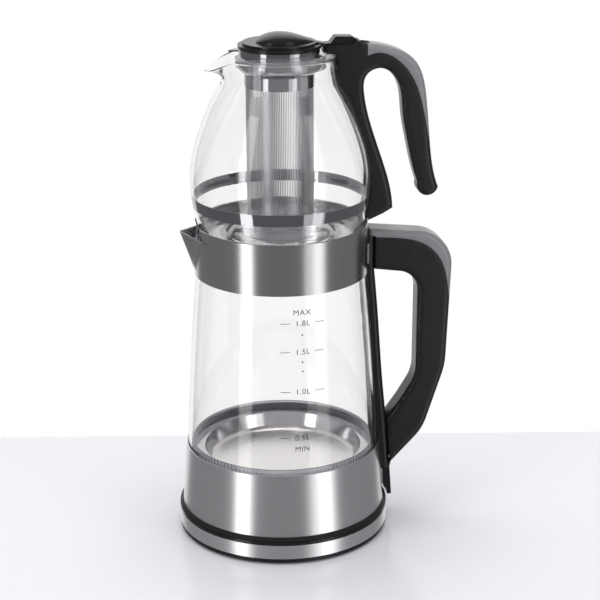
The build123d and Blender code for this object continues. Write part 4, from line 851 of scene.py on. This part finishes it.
# Marks of the scale: word, height in mm, and whether a dash stands on each side.
SCALE_MARKS = [
    ("MAX", 194.0, False),
    ("1.8L", 186.5, True),
    ("1.5L", 165.0, True),
    ("1.0L", 135.0, True),
    ("0.5L", 99.0, True),
    ("MIN", 90.5, False),
]
SCALE_DOTS = [177.0, 157.0, 150.3]
CAPITAL_SHARE = 0.7
LETTER_SPACING = 1.12
LETTER_DEPTH = 0.02 * MM
INK_DEPTH = 0.03 * MM
DASH_HALF_WIDTH = 0.22 * MM
DASH_STEPS = 6
DOT_RADIUS = 0.62 * MM
DOT_SIDES = 16
GLASS_SAMPLES = 200


def glass_front_radius(z):
    """Outer radius of the kettle glass at a height, read from its node."""
    co = [v.co for v in frame["nodes"]["kettle_glass"].data.vertices]
    near = sorted(co, key=lambda c: abs(c.z - z))[:GLASS_SAMPLES]
    return max(hypot(c.x, c.y) for c in near)


def printed(name, mesh, height):
    """Wraps a flat mesh round the kettle glass, centred at a height, as a printed piece."""
    layout = bpy.context.scene.tea_scale
    radius = glass_front_radius(height) + INK_DEPTH
    foot, top = SCALE_MARKS[-1][1] * MM, SCALE_MARKS[0][1] * MM
    risen = (height - foot) / (top - foot)
    for vertex in mesh.vertices:
        turn = layout.turn + layout.lean * risen + vertex.co.x / radius
        reach = radius + vertex.co.z
        vertex.co = (reach * sin(turn), -reach * cos(turn), height + vertex.co.y)
    return add_piece(name, mesh, "ink", "kettle")


def flat_shape(name, outline):
    """Flat mesh of one outline in the plane of the print, thin enough for ink."""
    bm = bmesh.new()
    face = bm.faces.new([bm.verts.new((x, y, 0.0)) for x, y in outline])
    raised = bmesh.ops.extrude_face_region(bm, geom=[face])["geom"]
    for vertex in raised:
        if isinstance(vertex, bmesh.types.BMVert):
            vertex.co.z = INK_DEPTH
    mesh = bpy.data.meshes.new(name)
    bmesh.ops.recalc_face_normals(bm, faces=bm.faces)
    bm.to_mesh(mesh)
    bm.free()
    return mesh


def lettering(name, text, letter_height):
    """Mesh of a line of capitals, centred on its middle."""
    curve = bpy.data.curves.new(name, "FONT")
    curve.body = text
    curve.size = letter_height / CAPITAL_SHARE
    curve.align_x = "CENTER"
    curve.space_character = LETTER_SPACING
    curve.extrude = LETTER_DEPTH
    holder = bpy.data.objects.new(name, curve)
    bpy.context.scene.collection.objects.link(holder)
    bpy.context.view_layer.update()
    mesh = bpy.data.meshes.new_from_object(holder.evaluated_get(bpy.context.evaluated_depsgraph_get()))
    bpy.data.objects.remove(holder)
    for vertex in mesh.vertices:
        vertex.co.y -= letter_height / 2
    return mesh


class TEAMAKER_OT_level_scale(Operator):
    """Print the level scale on the kettle glass"""

    bl_idname = "teamaker.level_scale"
    bl_label = "Level scale"

    def execute(self, context):
        layout = context.scene.tea_scale
        for text, height, dashes in SCALE_MARKS:
            name = "scale_" + text.replace(".", "_")
            printed(name, lettering(name, text, layout.letter_height), height * MM)
            if not dashes:
                continue
            for side, word in ((-1, "left"), (1, "right")):
                near = side * layout.dash_gap
                steps = [near + side * layout.dash_length * i / DASH_STEPS for i in range(DASH_STEPS + 1)]
                outline = [(x, -DASH_HALF_WIDTH) for x in steps]
                outline += [(x, DASH_HALF_WIDTH) for x in reversed(steps)]
                printed(f"{name}_dash_{word}", flat_shape("scale_dash", outline), height * MM)
        turns = [2 * pi * i / DOT_SIDES for i in range(DOT_SIDES)]
        dot = [(DOT_RADIUS * cos(turn), DOT_RADIUS * sin(turn)) for turn in turns]
        for count, height in enumerate(SCALE_DOTS):
            printed(f"scale_dot_{count}", flat_shape("scale_dot", dot), height * MM)
        return {"FINISHED"}


# ---- studio ----
WHITE = (1.0, 1.0, 1.0, 1.0)
ROOM_LIGHT = (0.55, 0.55, 0.56, 1.0)
ROOM_IN_METAL = (0.235, 0.23, 0.24, 1.0)
ROOM_THROUGH_GLASS = (0.46, 0.455, 0.47, 1.0)
WALL_HALF_WIDTH = 0.95
WALL_DISTANCE = 1.2
WALL_FOOT = -1.2
WALL_TOP = 2.2
TABLE_HALF_WIDTH = 1.2
TABLE_BACK = 0.167
TABLE_FADE = (0.30, 0.50)
LAMP_REACH = 1.25
LAMP_STAGGER = 0.02
LAMP_HEIGHT = 0.125
LAMP_TALL = 2.25
# Softboxes: name, angle from the camera's side in degrees, width, and power as a share of lamp_power.
LAMPS = [
    ("softbox_left", -45.0, 0.36, 0.74),
    ("softbox_right", 49.0, 0.30, 0.22),
    ("softbox_right_wide", 44.5, 0.66, 0.50),
]
TOP_LAMP_PLACE = (0.0, 0.15, 1.7)
TOP_LAMP_SIZE = 1.0
TOP_LAMP_SHARE = 1.9
LENS = 104.8
SENSOR_WIDTH = 36.0
CAMERA_SWING = radians(0.643)
CAMERA_ROLL = radians(-0.3)


def make_world(context):
    """White behind the object, and a dim studio in front of it for everything else."""
    world = bpy.data.worlds.new("studio")
    context.scene.world = world
    world.use_nodes = True
    sky = Graph(world.node_tree)
    camera = sky.node("ShaderNodeLightPath", output="Is Camera Ray")
    glossy = sky.node("ShaderNodeLightPath", output="Is Glossy Ray")
    through = sky.node("ShaderNodeLightPath", output="Is Transmission Ray")
    mirrored = sky.mix(glossy, ROOM_LIGHT, ROOM_IN_METAL)
    room = sky.mix(through, mirrored, ROOM_THROUGH_GLASS)
    colour = sky.mix(camera, room, WHITE)
    light = sky.node("ShaderNodeBackground", values={"Color": colour, "Strength": 1.0})
    sky.node("ShaderNodeOutputWorld", values={"Surface": light})


def stage_plane(name, corners, material):
    """Flat piece of the studio, turned to face the camera."""
    turn = Matrix.Rotation(-bpy.context.scene.tea_studio.azimuth, 4, "Z")
    mesh = bpy.data.meshes.new(name)
    mesh.from_pydata([turn @ Vector(corner) for corner in corners], [], [(0, 1, 2, 3)])
    mesh.materials.append(material)
    plane = bpy.data.objects.new(name, mesh)
    bpy.context.scene.collection.objects.link(plane)
    return plane


def make_backdrop(context):
    """White wall behind the object, which metal and glass show too."""
    material = bpy.data.materials.new("backdrop")
    material.use_nodes = True
    wall = Graph(material.node_tree)
    cloud = wall.noise(wall.place(), 1.5, 1.0)
    shade = wall.mix(cloud, (0.97, 0.97, 0.975, 1.0), WHITE)
    glow = wall.node("ShaderNodeEmission", values={"Color": shade, "Strength": 1.0})
    wall.node("ShaderNodeOutputMaterial", values={"Surface": glow})
    sides = [(-WALL_HALF_WIDTH, WALL_FOOT), (WALL_HALF_WIDTH, WALL_FOOT)]
    sides += [(WALL_HALF_WIDTH, WALL_TOP), (-WALL_HALF_WIDTH, WALL_TOP)]
    plane = stage_plane("backdrop", [(x, WALL_DISTANCE, z) for x, z in sides], material)
    plane.visible_camera = False
    plane.visible_diffuse = False
    plane.visible_shadow = False


def make_floor(context):
    """Table top that ends behind the object and fades out far from it."""
    top = Finish("table_top", ior=1.45, base_color=context.scene.tea_studio.floor)
    cloud = top.noise(top.place(), 9.0, 2.0)
    top.set(roughness=0.16 + 0.05 * cloud)
    edge = top.step(top.radius(), *TABLE_FADE)
    shader = Wire(top, top.principled.outputs[0])
    clear = top.node("ShaderNodeBsdfTransparent")
    mixed = top.node("ShaderNodeMixShader", values={0: edge, 1: shader, 2: clear})
    top.node("ShaderNodeOutputMaterial", {"is_active_output": True}, {"Surface": mixed})
    sides = [(-TABLE_HALF_WIDTH, -TABLE_HALF_WIDTH), (TABLE_HALF_WIDTH, -TABLE_HALF_WIDTH)]
    sides += [(TABLE_HALF_WIDTH, TABLE_BACK), (-TABLE_HALF_WIDTH, TABLE_BACK)]
    plane = stage_plane("table_top", [(x, y, 0) for x, y in sides], top.material)
    plane.visible_glossy = False


def softbox(name, place, aim, width, tall, watts):
    """Rectangular area lamp, which the camera itself doesn't see."""
    lamp = bpy.data.lights.new(name, "AREA")
    lamp.shape = "RECTANGLE"
    lamp.size = width
    lamp.size_y = tall
    lamp.energy = watts
    holder = bpy.data.objects.new(name, lamp)
    bpy.context.scene.collection.objects.link(holder)
    holder.location = place
    holder.rotation_euler = (Vector(aim) - Vector(place)).to_track_quat("-Z", "Y").to_euler()
    holder.visible_camera = False
    return holder


def make_lamps(context):
    """Tall softboxes to the left and right of the camera, and a wide one overhead."""
    power = context.scene.tea_studio.lamp_power
    facing = -pi / 2 - context.scene.tea_studio.azimuth
    for count, (name, angle, width, share) in enumerate(LAMPS):
        turn = facing + radians(angle)
        reach = LAMP_REACH + LAMP_STAGGER * count
        place = Vector((reach * cos(turn), reach * sin(turn), LAMP_HEIGHT))
        softbox(name, place, (0, 0, place.z), width, LAMP_TALL, share * power)
    below = (TOP_LAMP_PLACE[0], TOP_LAMP_PLACE[1], 0)
    watts = TOP_LAMP_SHARE * power
    top = softbox("softbox_top", TOP_LAMP_PLACE, below, TOP_LAMP_SIZE, TOP_LAMP_SIZE, watts)
    top.visible_glossy = False


def make_camera(context):
    """Camera in front, above the object, a little towards the spout."""
    view = context.scene.tea_studio
    camera = bpy.data.cameras.new("camera")
    camera.lens = LENS
    camera.sensor_width = SENSOR_WIDTH
    holder = bpy.data.objects.new("camera", camera)
    context.scene.collection.objects.link(holder)
    turn = Matrix.Rotation(-view.azimuth - CAMERA_SWING, 4, "Z")
    tip = Matrix.Rotation(pi / 2 - view.pitch, 4, "X")
    roll = Matrix.Rotation(CAMERA_ROLL, 4, "Z")
    stand = Vector((-view.distance * sin(view.azimuth), -view.distance * cos(view.azimuth), view.height))
    holder.matrix_world = Matrix.Translation(stand) @ turn @ tip @ roll
    context.scene.camera = holder
    context.scene.view_settings.view_transform = "Standard"


class TEAMAKER_OT_studio(Operator):
    """Set up the table top, the backdrop, the lamps and the camera"""

    bl_idname = "teamaker.studio"
    bl_label = "Studio"

    def execute(self, context):
        make_world(context)
        make_backdrop(context)
        make_floor(context)
        make_lamps(context)
        make_camera(context)
        return {"FINISHED"}


# ---- add-on ----
class TEAMAKER_PT_panel(Panel):
    """Lists the steps that build the tea maker"""

    bl_idname = "TEAMAKER_PT_panel"
    bl_label = "Tea Maker"
    bl_space_type = "VIEW_3D"
    bl_region_type = "UI"
    bl_category = "Tea Maker"

    def draw(self, context):
        for group in SETTINGS:
            settings = getattr(context.scene, group)
            box = self.layout.box()
            for name in type(settings).__annotations__:
                box.prop(settings, name)
        for operator in OPERATORS:
            self.layout.operator(operator.bl_idname)


SETTINGS = {
    "tea_finishes": FinishSettings,
    "tea_scale": ScaleSettings,
    "tea_glass": GlassSettings,
    "tea_infuser": InfuserSettings,
    "tea_studio": StudioSettings,
}
OPERATORS = (
    TEAMAKER_OT_finishes,
    TEAMAKER_OT_frame,
    TEAMAKER_OT_teapot_glass,
    TEAMAKER_OT_infuser_basket,
    TEAMAKER_OT_lid_knob,
    TEAMAKER_OT_level_scale,
    TEAMAKER_OT_studio,
)


def register():
    for settings in SETTINGS.values():
        bpy.utils.register_class(settings)
    for operator in OPERATORS:
        bpy.utils.register_class(operator)
    bpy.utils.register_class(TEAMAKER_PT_panel)
    for name, settings in SETTINGS.items():
        setattr(bpy.types.Scene, name, PointerProperty(type=settings))


def unregister():
    for name in SETTINGS:
        delattr(bpy.types.Scene, name)
    bpy.utils.unregister_class(TEAMAKER_PT_panel)
    for operator in reversed(OPERATORS):
        bpy.utils.unregister_class(operator)
    for settings in reversed(SETTINGS.values()):
        bpy.utils.unregister_class(settings)


def main():
    """Builds everything in order."""
    register()
    for operator in OPERATORS:
        group, step = operator.bl_idname.split(".")
        getattr(getattr(bpy.ops, group), step)()


if __name__ == "__main__":
    main()
